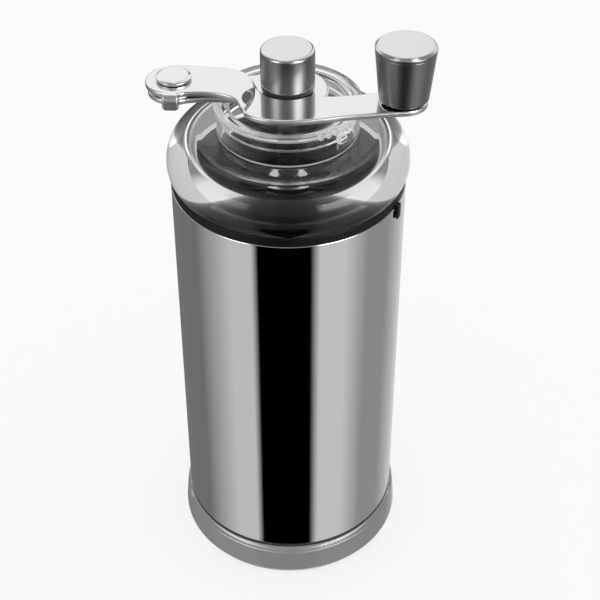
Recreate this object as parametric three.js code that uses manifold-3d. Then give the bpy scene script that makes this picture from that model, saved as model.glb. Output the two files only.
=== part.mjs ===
// Manual coffee grinder with a folding crank, in millimetres.
// +Z is up, +X is to the right and -Y is the front. The origin is the centre of the base's underside.
import * as THREE from "three";
import { mergeVertices } from "three/addons/utils/BufferGeometryUtils.js";
import Module from "manifold-3d";

const wasm = await Module();
wasm.setup();

// Clearances
const looseGap = 0.3; // between pieces that only sit inside one another
const runningGap = 0.15; // round a turning shaft
const slideGap = 0.2; // between flat faces that turn over one another

// Clear jar and its thick base
const baseFlare = 1.8; // how far the base stands out past the sleeve
const baseUndercut = 1.2; // underside to widest part
const baseFootEdge = 0.9;
const baseRounding = 3.8;
const baseShoulderHeight = 7.6;
const baseShoulderEdge = 0.5;
const jarWall = 2.6;
const jarFloorHeight = 6;
const jarFloorChamfer = 2;
const jarMouthChamfer = 0.5;

// Polished steel sleeve
const sleeveWall = 0.8;
const sleeveBottom = 13.5;
const sleeveLength = 128.3;

// Black collar that screws into the jar
const collarHeight = 3;
const collarInset = 0.1;
const collarSkirtWall = 3.6;
const collarSkirtDepth = 13.8;
const collarEdge = 0.4;
const indexTabRoot = 1; // overlap with the flange
const gasketThickness = 1.5;
const gasketWidth = 1.9;
const indexTabWidth = 2.6;
const indexTabThickness = 1;
const indexTabDrop = 3.3;
const indexTabRise = 0.9;
const indexTabAzimuth = -24; // degrees from +X

// Clear domed hopper with its neck
const domeTubeRadius = 10.5;
const domeTubeHeight = 4.9; // centre of the round shoulder above the collar
const domeBulge = 0.94; // how far the shoulder stands out past the sleeve
const hopperWall = 7.4;
const hopperRoof = 3.7;
const chamberCornerRadius = 6;
const chamberMouthRadius = 1.6; // round edge where the chamber meets the neck
const neckInset = 4.44; // inside the round shoulder's top
const neckWall = 1.8;
const neckFilletHeight = 3.2;
const lugRoot = 0.6; // overlap with the neck
const neckHeight = 7.9; // from the shoulder's top to the neck's rim
const lugWidth = 3.4;
const lugDepth = 1.6;
const lugHeight = 3;
const lugDrop = 3.7;
const lugAzimuth = -45;

// Clear lid
const lidRimHeight = 1.4;
const lidRimStep = 1.4;
const lidRimOverhang = 0.2; // past the neck
const lidRimEdge = 0.4;
const lidRidgeHeight = 0.7;
const lidRidgeWidth = 1.3;
const lidRidgeSlope = 0.8;
const lidPlate = 2.2;
const lidDish = 1.1; // how far the plate lies below the ridge
const lidSkirtWall = 1.9;
const lidSkirtDepth = 4.1;
const lidHoleGap = 0.5;
const gripRibCount = 6;
const gripRibPitch = 6.4; // degrees
const gripRibAzimuth = -49;
const gripRibSize = 0.7;

// Funnel, bearing and burr housing
const funnelRimWidth = 2;
const funnelRimHeight = 1.5;
const funnelWall = 2.3;
const throatLedge = 5; // between the throat and the outer burr's outside
const throatDrop = 5.4; // collar's top to the throat's top
const flangeClearance = 0.8; // inside the collar
const flangeThickness = 2.2;
const flangeDrop = 1.2; // throat's top to the flange's top
const flangeEdge = 2.5; // screw circle to the flange's edge
const spiderArms = 3;
const spiderArmWidth = 3.4;
const spiderArmDrop = 2.8;
const bearingHubWall = 2.6;
const bearingDrop = 0.4; // below the throat's top
const bearingHubDrop = 4.5;
const bushingFlangeRadius = 6.3;
const bushingFlange = 0.7;
const bushingWall = 1.3;
const housingWall = 2.5;
const housingFlange = 2.4;
const housingLedgeDepth = 7.5;
const retainerThickness = 2;
const retainerLip = 2;
const retainerClearance = 1; // round the burrs' mouth
const screwRadius = 1;
const screwHeadRadius = 2;
const screwHeadHeight = 1.2;
const screwBossRadius = 2.7;
const retainerScrewLength = 12;
const flangeScrewLength = 3.8;

// Conical burrs
const outerBurrRadius = 20;
const outerBurrHeight = 14;
const outerBurrTeeth = 30;
const outerBurrMouthWall = 2.8; // at the fine, lower end
const outerBurrThroatWall = 6.7; // at the top
const outerToothDepth = 0.6;
const outerToothRelief = 0.6; // teeth below the tip radius at the mouth
const outerBurrTwist = -28; // degrees
const burrFineGap = 0.5;
const innerBurrTaper = 8.1; // mouth to crown, on the radius
const innerToothDepth = 0.7;
const innerBurrTwist = 52; // degrees
const toothFlank = 0.35; // share of a tooth's pitch up to its tip
const innerBurrTeeth = 24;
const innerBurrHeight = 16;
const innerBurrSkirt = 1.5; // how far it reaches below the outer burr
const bladeGroup = 4; // every fourth tooth runs on up as a crushing blade
const burrRelief = 2;
const burrTravel = 0.6; // up and down from the middle setting

// Spindle and what rides on it
const spindleRadius = 3.3;
const burrHexFlats = 5.6;
const crankHexFlats = 4.8;
const hexGap = 0.25;
const threadRadius = 2.5;
const threadLength = 17;
const threadChamfer = 0.5;
const spindleTip = 11.8; // hex above the crank's seat
const spindleOverlap = 0.5; // where one length of the shaft runs into the next
const clipRadius = 4.6;
const clipThickness = 1;
const clipGrooveRadius = 1.9;
const clipHeight = 3; // above the spindle's lower end
const clipMouth = 2.6;
const clickPlateRadius = 9;
const clickPlateThickness = 1;
const clickNotchRadius = 0.6;
const nutRadius = 11;
const nutLobes = 12;
const nutLobeDepth = 0.7;
const nutHeight = 5.8;
const springCoilRadius = 4.9;
const springWireRadius = 0.42;
const springTurns = 2.5;
const springSeatGap = 0.05;
const springWasherRadius = 6;
const springWasherThickness = 0.5;

// Folding crank
const crankTurn = -2.06; // degrees, as it is stored
const plateThickness = 1.6;
const crankSeatAboveRidge = 0;
const hubWasherRadius = 7.6;
const hubWasherThickness = 1.3;
const pivotReach = 33.4; // spindle to folding pivot
const innerEyeRadius = 10.8;
const innerEndRadius = 7.8;
const innerWaist = 5.6;
const innerEyeStart = 222; // degrees, where the bar leaves the eye
const innerEndStart = 62; // degrees, where the bar leaves the round end
const innerWaistDip = 1.2;
const innerWaistPlace = 0.6; // share of the pivot's reach
const capRadius = 8;
const capHeight = 12.5;
const capRounding = 1;
const capSeamHeight = 1.6;
const capSeam = 0.3;
const capWasherRadius = 7.4;
const capWasherThickness = 0.9;
const capRoof = 3.4;
const capFootEdge = 0.3;
const pivotWasherRadius = 6.4;
const pivotPlateGap = 0.9;
const plateJoggle = 0.6; // how far the pivot end stands above the rest
const joggleAhead = 1.9; // centre of the step's arc, from the pivot
const joggleAside = 4;
const joggleRadius = 22.6;
const joggleOverlap = 1.2;
const outerEndRadius = 8.4;
const rivetRadius = 2.5;
const rivetHeadRadius = 5.3;
const rivetHeadHeight = 1.5;
const rivetFootHeight = 1.2;
const rivetFootInset = 0.5;
const rivetEdge = 1.3;
const capNotchGap = 1.2;
const knobReach = 33.6;
const knobOffset = 8.3;
const knobSeatRadius = 7;
const stopTabWidth = 4.6;
const stopTabDepth = 5.6;
const stopTabOffset = -1.4;

// Knob
const knobFootRadius = 7.3;
const knobTopRadius = 9;
const knobHeight = 17.1;
const knobChamfer = 0.8;
const knobCapThickness = 1.8;
const knobPinRadius = 2.4;
const knobPinHeadRadius = 4.2;
const knobPinHead = 1.8;
const knobPinFootHeight = 1;
const knobEdge = 0.4;
const knobWasherRadius = 5.5;
const knobWasherThickness = 0.5;
const knobBoreDepth = 5; // counterbore below the knob's cap

// Facets round a full turn
const fineTurn = 44;
const mediumTurn = 28;
const smallTurn = 16;
const screwTurn = 8;

// Heights and radii that follow from the sizes above
const housingRadius = outerBurrRadius + looseGap + housingWall;
const screwCircle = housingRadius + screwHeadRadius + looseGap;
const flangeRadius = screwCircle + flangeEdge;
const collarBore = flangeRadius + flangeClearance;
const skirtRadius = collarBore + collarSkirtWall;
const jarBore = skirtRadius + looseGap;
const jarRadius = jarBore + jarWall;
const sleeveBore = jarRadius + looseGap;
const sleeveRadius = sleeveBore + sleeveWall;
const sleeveTop = sleeveBottom + sleeveLength;
const baseRadius = sleeveRadius + baseFlare;
const baseUndersideRadius = baseRadius - baseUndercut;
const jarTop = sleeveTop - gasketThickness;
const collarRadius = sleeveRadius - collarInset;
const collarTop = sleeveTop + collarHeight;
const domeCentreRadius = sleeveRadius + domeBulge - domeTubeRadius;
const domeCentreHeight = collarTop + domeTubeHeight;
const domeTop = domeCentreHeight + domeTubeRadius;
const hopperBore = sleeveRadius + domeBulge - hopperWall;
const chamberRoof = domeTop - hopperRoof;
const neckRadius = domeCentreRadius - neckInset;
const neckTop = domeTop + neckHeight;
const neckBore = neckRadius - neckWall;
const ridgeTop = neckTop + lidRimHeight + lidRidgeHeight;
const lidTop = ridgeTop - lidDish;
const crankSeat = ridgeTop + crankSeatAboveRidge;
const throatRadius = outerBurrRadius - throatLedge;
const throatTop = collarTop - throatDrop;
const bearingTop = throatTop - bearingDrop;
const hubBottom = bearingTop - bearingHubDrop;
const bushingRadius = spindleRadius + runningGap + bushingWall;
const flangeTop = throatTop - flangeDrop;
const flangeBottom = flangeTop - flangeThickness;
const seatTop = flangeBottom - housingLedgeDepth;
const burrBottom = seatTop - outerBurrHeight;
const housingBottom = burrBottom - retainerLip;
const outerBurrMouth = outerBurrRadius - outerBurrMouthWall;
const outerBurrThroat = outerBurrRadius - outerBurrThroatWall;
const innerBurrMouth = outerBurrMouth - burrFineGap;
const innerBurrCrown = innerBurrMouth - innerBurrTaper;
const innerBurrBottom = burrBottom - innerBurrSkirt;
const innerBurrTop = innerBurrBottom + innerBurrHeight;
const clickPlateBottom = innerBurrBottom - clickPlateThickness;
const nutTop = clickPlateBottom - slideGap;
const nutBottom = nutTop - nutHeight;
const hexFoot = clickPlateBottom - burrTravel - slideGap / 2;
const nutRecessFloor = hexFoot - burrTravel - slideGap;
const threadTop = nutTop;
const spindleBottom = threadTop - threadLength;
const clipBottom = spindleBottom + clipHeight;
const springWasherTop = hubBottom - slideGap / 2;
const innerLinkBottom = crankSeat + hubWasherThickness;
const innerLinkTop = innerLinkBottom + plateThickness;
const outerLinkBottom = innerLinkTop + pivotPlateGap;
const outerLinkTop = outerLinkBottom + plateThickness;
const armBottom = outerLinkBottom - plateJoggle;
const armTop = armBottom + plateThickness;
const capBottom = innerLinkTop + capWasherThickness;
const capTop = capBottom + capHeight;
const capNotchRadius = capRadius + capNotchGap;
const knobBottom = armTop + knobWasherThickness + slideGap;
const knobTop = knobBottom + knobHeight;

const radians = THREE.MathUtils.degToRad;

// A closed geometry as a solid that can be joined and cut.
function solid(geometry) {
  const bare = geometry.index ? geometry.toNonIndexed() : geometry.clone();
  bare.deleteAttribute("normal");
  bare.deleteAttribute("uv");
  const merged = mergeVertices(bare, 1e-4);
  return new wasm.Manifold(
    new wasm.Mesh({
      numProp: 3,
      vertProperties: new Float32Array(merged.attributes.position.array),
      triVerts: new Uint32Array(merged.index.array),
    }),
  );
}

// A solid as a geometry that a mesh can show.
function geometryOf(shape) {
  const { vertProperties, triVerts, numProp } = shape.getMesh();
  const count = vertProperties.length / numProp;
  const positions = new Float32Array(count * 3);
  for (let i = 0; i < count; i++)
    positions.set(vertProperties.subarray(i * numProp, i * numProp + 3), i * 3);
  const geometry = new THREE.BufferGeometry();
  geometry.setAttribute("position", new THREE.BufferAttribute(positions, 3));
  geometry.setIndex(new THREE.BufferAttribute(triVerts, 1));
  geometry.computeVertexNormals();
  return geometry;
}

// A profile of [radius, height] points, counter-clockwise, turned about Z.
function turned(profile, facets = mediumTurn) {
  const points = profile.map((p) => (p.isVector2 ? p : new THREE.Vector2(...p)));
  const onAxis = points[0].x === 0 && points.at(-1).x === 0;
  if (!onAxis) points.push(points[0].clone());
  return new THREE.LatheGeometry(points, facets).rotateX(Math.PI / 2);
}

// A flat ring between two heights.
function ring(bore, radius, low, high, facets = mediumTurn) {
  return turned([[bore, low], [radius, low], [radius, high], [bore, high]], facets);
}

// A round rod between two heights.
function rod(radius, low, high, facets = smallTurn) {
  const rodShape = new THREE.CylinderGeometry(radius, radius, high - low, facets);
  return rodShape.rotateX(Math.PI / 2).translate(0, 0, (low + high) / 2);
}

// A six-sided bar between two heights, given across its flats.
function hexBar(flats, low, high) {
  return rod(flats / 2 / Math.cos(Math.PI / 6), low, high, 6);
}

// A flat outline as a plate between two heights.
function plate(outline, low, high, curveSegments = 10) {
  const settings = { depth: high - low, bevelEnabled: false, curveSegments };
  return new THREE.ExtrudeGeometry(outline, settings).translate(0, 0, low);
}

// A block that stands out along a radius at an azimuth in degrees.
function radialBlock(inner, outer, width, low, high, azimuth) {
  const block = new THREE.BoxGeometry(outer - inner, width, high - low);
  return block.translate((inner + outer) / 2, 0, (low + high) / 2).rotateZ(radians(azimuth));
}

// Moves a geometry to a point on a circle.
function onCircle(geometry, radius, azimuth) {
  return geometry.translate(radius, 0, 0).rotateZ(radians(azimuth));
}

function joined(first, ...rest) {
  return rest.reduce((sum, next) => sum.add(next), first);
}

function cut(first, ...rest) {
  return rest.reduce((left, next) => left.subtract(next), first);
}

const clearAcrylic = { color: 0xe6eaec, roughness: 0.05, metalness: 0, transparent: true, opacity: 0.35 };
const polishedSteel = { color: 0xc9cacc, roughness: 0.12, metalness: 1 };
const crankSteel = { color: 0xdcdddf, roughness: 0.16, metalness: 1 };
const knobSteel = { color: 0x8d8f92, roughness: 0.25, metalness: 1 };
const blackPlastic = { color: 0x0e0e0f, roughness: 0.35, metalness: 0 };
const blackRubber = { color: 0x161616, roughness: 0.8, metalness: 0 };
const ceramic = { color: 0xeceae4, roughness: 0.5, metalness: 0 };
const plainSteel = { color: 0xb4b5b8, roughness: 0.3, metalness: 1 };

// A named mesh with its own material.
function piece(name, shape, finish) {
  const geometry = shape.isBufferGeometry ? shape : geometryOf(shape);
  const mesh = new THREE.Mesh(geometry, new THREE.MeshStandardMaterial(finish));
  mesh.name = name;
  return mesh;
}

// Jar: a thick base with a rounded foot and a sloping shoulder under a plain tube.
function jarGeometry() {
  const foot = new THREE.Path();
  foot.moveTo(0, 0);
  foot.lineTo(baseUndersideRadius - baseFootEdge, 0);
  foot.quadraticCurveTo(baseRadius - baseUndercut / 2, 0, baseRadius, baseRounding);
  foot.lineTo(baseRadius, baseShoulderHeight - baseShoulderEdge);
  foot.quadraticCurveTo(baseRadius, baseShoulderHeight,
    baseRadius - baseShoulderEdge / 2, baseShoulderHeight + baseShoulderEdge);
  foot.lineTo(sleeveRadius, sleeveBottom);
  foot.lineTo(jarRadius, sleeveBottom);
  foot.lineTo(jarRadius, jarTop);
  foot.lineTo(jarBore + jarMouthChamfer, jarTop);
  foot.lineTo(jarBore, jarTop - jarMouthChamfer);
  foot.lineTo(jarBore, jarFloorHeight + jarFloorChamfer);
  foot.lineTo(jarBore - jarFloorChamfer, jarFloorHeight);
  foot.lineTo(0, jarFloorHeight);
  return turned(foot.getPoints(2), fineTurn);
}

// Collar: a flange that covers the sleeve's edge, a threaded skirt's plain core, and an index tab.
function collarSolid() {
  const profile = [
    [collarBore, jarTop - collarSkirtDepth],
    [skirtRadius - collarEdge, jarTop - collarSkirtDepth],
    [skirtRadius, jarTop - collarSkirtDepth + collarEdge],
    [skirtRadius, sleeveTop],
    [collarRadius, sleeveTop],
    [collarRadius, collarTop - collarEdge],
    [collarRadius - collarEdge, collarTop],
    [collarBore, collarTop],
  ];
  const tabInner = sleeveRadius + looseGap;
  const tabOuter = tabInner + indexTabThickness;
  const tabTop = sleeveTop + indexTabRise;
  const tabLow = sleeveTop - indexTabDrop;
  const drop = radialBlock(tabInner, tabOuter, indexTabWidth, tabLow, tabTop, indexTabAzimuth);
  const root = radialBlock(
    collarRadius - indexTabRoot, tabOuter, indexTabWidth, sleeveTop + slideGap, tabTop, indexTabAzimuth);
  return joined(solid(turned(profile, fineTurn)), solid(drop), solid(root));
}

// Hopper: a thick ring-shaped dome round the bean chamber, drawn in to a neck with bayonet lugs.
function hopperSolid() {
  const tubeEnd = -Math.asin(domeTubeHeight / domeTubeRadius);
  const profile = new THREE.Path();
  profile.moveTo(hopperBore, collarTop);
  profile.lineTo(domeCentreRadius + domeTubeRadius * Math.cos(tubeEnd), collarTop);
  profile.absarc(domeCentreRadius, domeCentreHeight, domeTubeRadius, tubeEnd, Math.PI / 2, false);
  profile.quadraticCurveTo(neckRadius, domeTop, neckRadius, domeTop + neckFilletHeight);
  profile.lineTo(neckRadius, neckTop);
  profile.lineTo(neckBore, neckTop);
  profile.lineTo(neckBore, chamberRoof + chamberMouthRadius);
  profile.quadraticCurveTo(neckBore, chamberRoof, neckBore + chamberMouthRadius, chamberRoof);
  profile.lineTo(hopperBore - chamberCornerRadius, chamberRoof);
  profile.quadraticCurveTo(hopperBore, chamberRoof, hopperBore, chamberRoof - chamberCornerRadius);
  const outline = profile.getPoints(3);
  const lugTop = neckTop - lugDrop + lugHeight;
  const lugs = [0, 180].map((turn) => solid(radialBlock(
    neckRadius - lugRoot, neckRadius + lugDepth, lugWidth, lugTop - lugHeight, lugTop,
    lugAzimuth + turn)));
  return joined(solid(turned(outline, fineTurn)), ...lugs);
}

// Lid: a dished plate with a skirt in the neck, a stepped rim and two sets of grip ribs.
function lidSolid() {
  const rimRadius = neckRadius + lidRimOverhang;
  const ridgeRadius = rimRadius - lidRimStep;
  const skirtOuter = neckBore - looseGap;
  const skirtInner = skirtOuter - lidSkirtWall;
  const hole = spindleRadius + lidHoleGap;
  const plateBottom = lidTop - lidPlate;
  const profile = [
    [hole, plateBottom],
    [skirtInner, plateBottom],
    [skirtInner, neckTop - lidSkirtDepth],
    [skirtOuter, neckTop - lidSkirtDepth],
    [skirtOuter, neckTop],
    [rimRadius, neckTop],
    [rimRadius, neckTop + lidRimHeight - lidRimEdge],
    [rimRadius - lidRimEdge, neckTop + lidRimHeight],
    [ridgeRadius, neckTop + lidRimHeight],
    [ridgeRadius - lidRimEdge, ridgeTop],
    [ridgeRadius - lidRidgeWidth - lidRimEdge, ridgeTop],
    [ridgeRadius - lidRidgeWidth - lidRimEdge - lidRidgeSlope, lidTop],
    [hole, lidTop],
  ];
  const ribs = [];
  for (const side of [0, 180])
    for (let i = 0; i < gripRibCount; i++) {
      const azimuth = gripRibAzimuth + side + (i - (gripRibCount - 1) / 2) * gripRibPitch;
      ribs.push(solid(radialBlock(
        rimRadius - gripRibSize, rimRadius + gripRibSize, 2 * gripRibSize, neckTop,
        neckTop + lidRimHeight + gripRibSize / 3, azimuth)));
    }
  return joined(solid(turned(profile, fineTurn)), ...ribs);
}

// Funnel: a sloping floor over a screw flange, with a spider that carries the spindle's bearing.
function funnelSolid() {
  const rimRadius = hopperBore - looseGap;
  const coneTop = rimRadius - funnelRimWidth;
  const rimTop = collarTop + funnelRimHeight;
  const slope = (rimTop - throatTop) / (coneTop - throatRadius);
  const coneFoot = throatRadius + (flangeTop + funnelWall - throatTop) / slope;
  const profile = [
    [rimRadius, collarTop],
    [rimRadius, rimTop],
    [coneTop, rimTop],
    [throatRadius, throatTop],
    [throatRadius, flangeBottom],
    [flangeRadius, flangeBottom],
    [flangeRadius, flangeTop],
    [coneFoot, flangeTop],
    [flangeRadius, flangeTop + (flangeRadius - coneFoot) * slope],
    [flangeRadius, collarTop],
  ];
  const hubRadius = bushingRadius + looseGap + bearingHubWall;
  const hub = rod(hubRadius, hubBottom, bearingTop, smallTurn);
  const arms = [];
  for (let i = 0; i < spiderArms; i++)
    arms.push(solid(radialBlock(
      hubRadius - 1, throatRadius + 1, spiderArmWidth, bearingTop - spiderArmDrop, bearingTop,
      90 + (360 / spiderArms) * i)));
  const bearingHole = rod(bushingRadius + looseGap, hubBottom - 1, bearingTop + 1, smallTurn);
  const body = joined(solid(turned(profile, mediumTurn)), solid(hub), ...arms);
  const holeTop = flangeBottom + flangeScrewLength - housingFlange;
  return cut(body, solid(bearingHole), ...screwHoles(flangeBottom - 1, holeTop + looseGap / 2, 60));
}

// Three clearance holes on the screw circle, from an azimuth in degrees.
function screwHoles(low, high, azimuth) {
  return [0, 120, 240].map((turn) =>
    solid(onCircle(rod(screwRadius + looseGap, low, high, screwTurn), screwCircle, azimuth + turn)));
}

// A pan-head screw that points up from its head.
function screwSolid(seat, length, azimuth) {
  const shape = turned([
    [0, seat - screwHeadHeight],
    [screwHeadRadius * 0.8, seat - screwHeadHeight],
    [screwHeadRadius, seat - screwHeadHeight * 0.5],
    [screwHeadRadius, seat],
    [screwRadius, seat],
    [screwRadius, seat + length],
    [0, seat + length],
  ], screwTurn);
  return onCircle(shape, screwCircle, azimuth);
}

// Burr housing: a flanged cup for the outer burr with three bosses for the retainer's screws.
function housingSolid() {
  const seatRadius = outerBurrRadius + looseGap;
  const mouthRadius = throatRadius + 2 * looseGap;
  const profile = [
    [mouthRadius, seatTop],
    [seatRadius, seatTop],
    [seatRadius, housingBottom],
    [housingRadius, housingBottom],
    [housingRadius, flangeBottom - housingFlange],
    [flangeRadius, flangeBottom - housingFlange],
    [flangeRadius, flangeBottom],
    [mouthRadius, flangeBottom],
  ];
  const bosses = [0, 120, 240].map((turn) => {
    const boss = rod(screwBossRadius, housingBottom, flangeBottom - housingFlange, 12);
    return solid(onCircle(boss, screwCircle, turn));
  });
  const core = solid(rod(seatRadius, housingBottom - 1, seatTop, mediumTurn));
  const shell = solid(turned(profile, mediumTurn));
  const bossShell = cut(joined(...bosses), core);
  return cut(
    joined(shell, bossShell),
    ...screwHoles(housingBottom - 1, housingBottom + retainerScrewLength, 0),
    ...screwHoles(flangeBottom - housingFlange - 1, flangeBottom + 1, 60));
}

// Retainer: a ring with three ears and a lip that holds the outer burr up on its ledge.
function retainerSolid() {
  const low = housingBottom - retainerThickness;
  const bore = outerBurrMouth + retainerClearance;
  const profile = [
    [bore, low],
    [housingRadius, low],
    [housingRadius, housingBottom],
    [outerBurrRadius, housingBottom],
    [outerBurrRadius, burrBottom],
    [bore, burrBottom],
  ];
  const ears = [0, 120, 240].map((turn) =>
    solid(onCircle(rod(screwBossRadius, low, housingBottom, 12), screwCircle, turn)));
  return cut(
    joined(solid(turned(profile, mediumTurn)), ...ears),
    ...screwHoles(low - 1, housingBottom + 1, 0));
}

// A cone with spiral teeth. Fine teeth run all the way, and one in each group
// stays high towards the top, where the others fall away and leave a crushing blade.
function toothedCone({ teeth, low, high, lowRadius, highRadius, depth, relief, twist, levels }) {
  const rings = [];
  for (let level = 0; level <= levels; level++) {
    const t = level / levels;
    const tip = THREE.MathUtils.lerp(lowRadius, highRadius, t);
    const z = THREE.MathUtils.lerp(low, high, t);
    const points = [];
    for (let tooth = 0; tooth < teeth; tooth++) {
      const fall = relief * t * ((tooth % bladeGroup) / bladeGroup);
      for (const [phase, drop] of [[0, depth], [toothFlank, 0]]) {
        const angle = ((tooth + phase) / teeth) * 2 * Math.PI + radians(twist) * t;
        const radius = tip - drop * (1 + t) - fall;
        points.push(new THREE.Vector3(radius * Math.cos(angle), radius * Math.sin(angle), z));
      }
    }
    rings.push(points);
  }
  const around = rings[0].length;
  const corners = rings.flat();
  const floor = corners.push(new THREE.Vector3(0, 0, low)) - 1;
  const roof = corners.push(new THREE.Vector3(0, 0, high)) - 1;
  const faces = [];
  for (let i = 0; i < around; i++) {
    const next = (i + 1) % around;
    faces.push(floor, next, i);
    faces.push(roof, levels * around + i, levels * around + next);
    for (let level = 0; level < levels; level++) {
      const here = level * around;
      const above = here + around;
      faces.push(here + i, here + next, above + next, here + i, above + next, above + i);
    }
  }
  const geometry = new THREE.BufferGeometry().setFromPoints(corners);
  geometry.setIndex(faces);
  return geometry;
}

// Outer burr: a ceramic ring whose bore is a toothed cone, narrower at the top.
function outerBurrSolid() {
  const reach = looseGap; // the cutter runs on past both faces
  const slope = (outerBurrMouth - outerBurrThroat) / outerBurrHeight;
  const teethBore = toothedCone({
    teeth: outerBurrTeeth,
    low: burrBottom - reach,
    high: seatTop + reach,
    lowRadius: outerBurrMouth + slope * reach + outerToothRelief,
    highRadius: outerBurrThroat - slope * reach + 2 * outerToothRelief,
    depth: outerToothDepth,
    relief: 0,
    twist: outerBurrTwist,
    levels: 4,
  });
  return cut(solid(rod(outerBurrRadius, burrBottom, seatTop, mediumTurn)), solid(teethBore));
}

// Inner burr: a ceramic cone with spiral teeth and a six-sided bore that keys it to the spindle.
function innerBurrSolid() {
  const slope = innerBurrTaper / (innerBurrTop - burrBottom);
  const cone = toothedCone({
    teeth: innerBurrTeeth,
    low: innerBurrBottom,
    high: innerBurrTop,
    lowRadius: innerBurrMouth + slope * innerBurrSkirt,
    highRadius: innerBurrCrown,
    depth: innerToothDepth,
    relief: burrRelief,
    twist: innerBurrTwist,
    levels: 6,
  });
  const bore = hexBar(burrHexFlats + 2 * hexGap, innerBurrBottom - 1, innerBurrTop + 1);
  return cut(solid(cone), solid(bore));
}

// Spindle: a round shaft with a six-sided length for the burr, a smaller one
// for the crank, and a threaded end with a clip groove.
function spindleSolid() {
  const hexTop = hubBottom - springWasherThickness - slideGap;
  const grooveTop = clipBottom + clipThickness + looseGap;
  const shaft = turned([
    [0, hexTop],
    [spindleRadius, hexTop],
    [spindleRadius, crankSeat],
    [0, crankSeat],
  ], smallTurn);
  const thread = turned([
    [0, spindleBottom],
    [threadRadius - threadChamfer, spindleBottom],
    [threadRadius, spindleBottom + threadChamfer],
    [threadRadius, clipBottom],
    [clipGrooveRadius, clipBottom],
    [clipGrooveRadius, grooveTop],
    [threadRadius, grooveTop],
    [threadRadius, threadTop],
    [0, threadTop],
  ], smallTurn);
  const burrHex = hexBar(burrHexFlats, hexFoot, hexTop + spindleOverlap);
  const crankHex = hexBar(crankHexFlats, crankSeat - spindleOverlap, crankSeat + spindleTip);
  return joined(solid(shaft), solid(thread), solid(burrHex), solid(crankHex));
}

// Clip: an open ring in the spindle's groove, which stops the nut running off.
function clipSolid() {
  const low = clipBottom + looseGap / 2;
  const disc = solid(rod(clipRadius, low, low + clipThickness, mediumTurn));
  const bore = solid(rod(clipGrooveRadius + runningGap, low - 1, low + clipThickness + 1));
  const mouth = new THREE.BoxGeometry(clipRadius * 2, clipMouth, clipThickness + 2)
    .translate(clipRadius, 0, low + clipThickness / 2);
  return cut(disc, bore, solid(mouth));
}

// Click plate: a keyed washer under the burr, notched round its edge for the nut's clicks.
function clickPlateSolid() {
  const disc = solid(rod(clickPlateRadius, clickPlateBottom, innerBurrBottom, mediumTurn));
  const bore = solid(hexBar(burrHexFlats + 2 * hexGap, clickPlateBottom - 1, innerBurrBottom + 1));
  const notches = [];
  for (let i = 0; i < nutLobes; i++)
    notches.push(solid(onCircle(
      rod(clickNotchRadius, clickPlateBottom - 1, innerBurrBottom + 1, screwTurn),
      clickPlateRadius, (360 / nutLobes) * i)));
  return cut(disc, bore, ...notches);
}

// Adjusting nut: a lobed thumb wheel on the spindle's thread, recessed for the foot of the hexagon.
function nutSolid() {
  const outline = new THREE.Shape();
  const steps = nutLobes * 4;
  for (let i = 0; i < steps; i++) {
    const angle = (i / steps) * 2 * Math.PI;
    const radius = nutRadius - nutLobeDepth * (0.5 - 0.5 * Math.cos(angle * nutLobes));
    const x = radius * Math.cos(angle);
    const y = radius * Math.sin(angle);
    if (i === 0) outline.moveTo(x, y);
    else outline.lineTo(x, y);
  }
  outline.closePath();
  const bore = solid(rod(threadRadius + slideGap, nutBottom - 1, nutTop + 1));
  const hexCorner = burrHexFlats / 2 / Math.cos(Math.PI / 6);
  const recess = solid(rod(hexCorner + looseGap, nutRecessFloor, nutTop + 1));
  return cut(solid(plate(outline, nutBottom, nutTop)), bore, recess);
}

// Spring: an open coil that holds the burr down on its nut.
class Coil extends THREE.Curve {
  constructor(radius, low, high, turns) {
    super();
    Object.assign(this, { radius, low, high, turns });
  }
  getPoint(t, target = new THREE.Vector3()) {
    const angle = t * this.turns * 2 * Math.PI;
    const z = THREE.MathUtils.lerp(this.low, this.high, t);
    return target.set(this.radius * Math.cos(angle), this.radius * Math.sin(angle), z);
  }
}

function springGeometry() {
  const low = innerBurrTop + springWireRadius + springSeatGap;
  const high = springWasherTop - springWasherThickness - springWireRadius - springSeatGap;
  const path = new Coil(springCoilRadius, low, high, springTurns);
  const wire = new THREE.Shape().absarc(0, 0, springWireRadius, 0, 2 * Math.PI, false);
  return new THREE.ExtrudeGeometry(wire, {
    steps: Math.round(springTurns * 12), curveSegments: 3, bevelEnabled: false, extrudePath: path,
  });
}

// Inner link: a flat bar with an eye round the spindle and a smaller round end at the pivot.
function innerLinkSolid() {
  const outline = new THREE.Shape();
  const eyeStart = radians(innerEyeStart);
  const endTurn = radians(innerEndStart);
  const waistX = -pivotReach * innerWaistPlace;
  const waistY = innerWaist - innerWaistDip;
  outline.moveTo(-pivotReach + innerEndRadius * Math.cos(endTurn), innerEndRadius * Math.sin(endTurn));
  outline.absarc(-pivotReach, 0, innerEndRadius, endTurn, 2 * Math.PI - endTurn, false);
  outline.quadraticCurveTo(waistX, -waistY,
    innerEyeRadius * Math.cos(eyeStart), innerEyeRadius * Math.sin(eyeStart));
  outline.absarc(0, 0, innerEyeRadius, eyeStart, 4 * Math.PI - eyeStart, false);
  outline.quadraticCurveTo(waistX, waistY,
    -pivotReach + innerEndRadius * Math.cos(endTurn), innerEndRadius * Math.sin(endTurn));
  const pivotHole = rod(rivetRadius + runningGap, innerLinkBottom - 1, innerLinkTop + 1, mediumTurn);
  return cut(
    solid(plate(outline, innerLinkBottom, innerLinkTop, 9)),
    solid(hexBar(crankHexFlats + 2 * hexGap, innerLinkBottom - 1, innerLinkTop + 1)),
    solid(pivotHole.translate(-pivotReach, 0, 0)));
}

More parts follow.
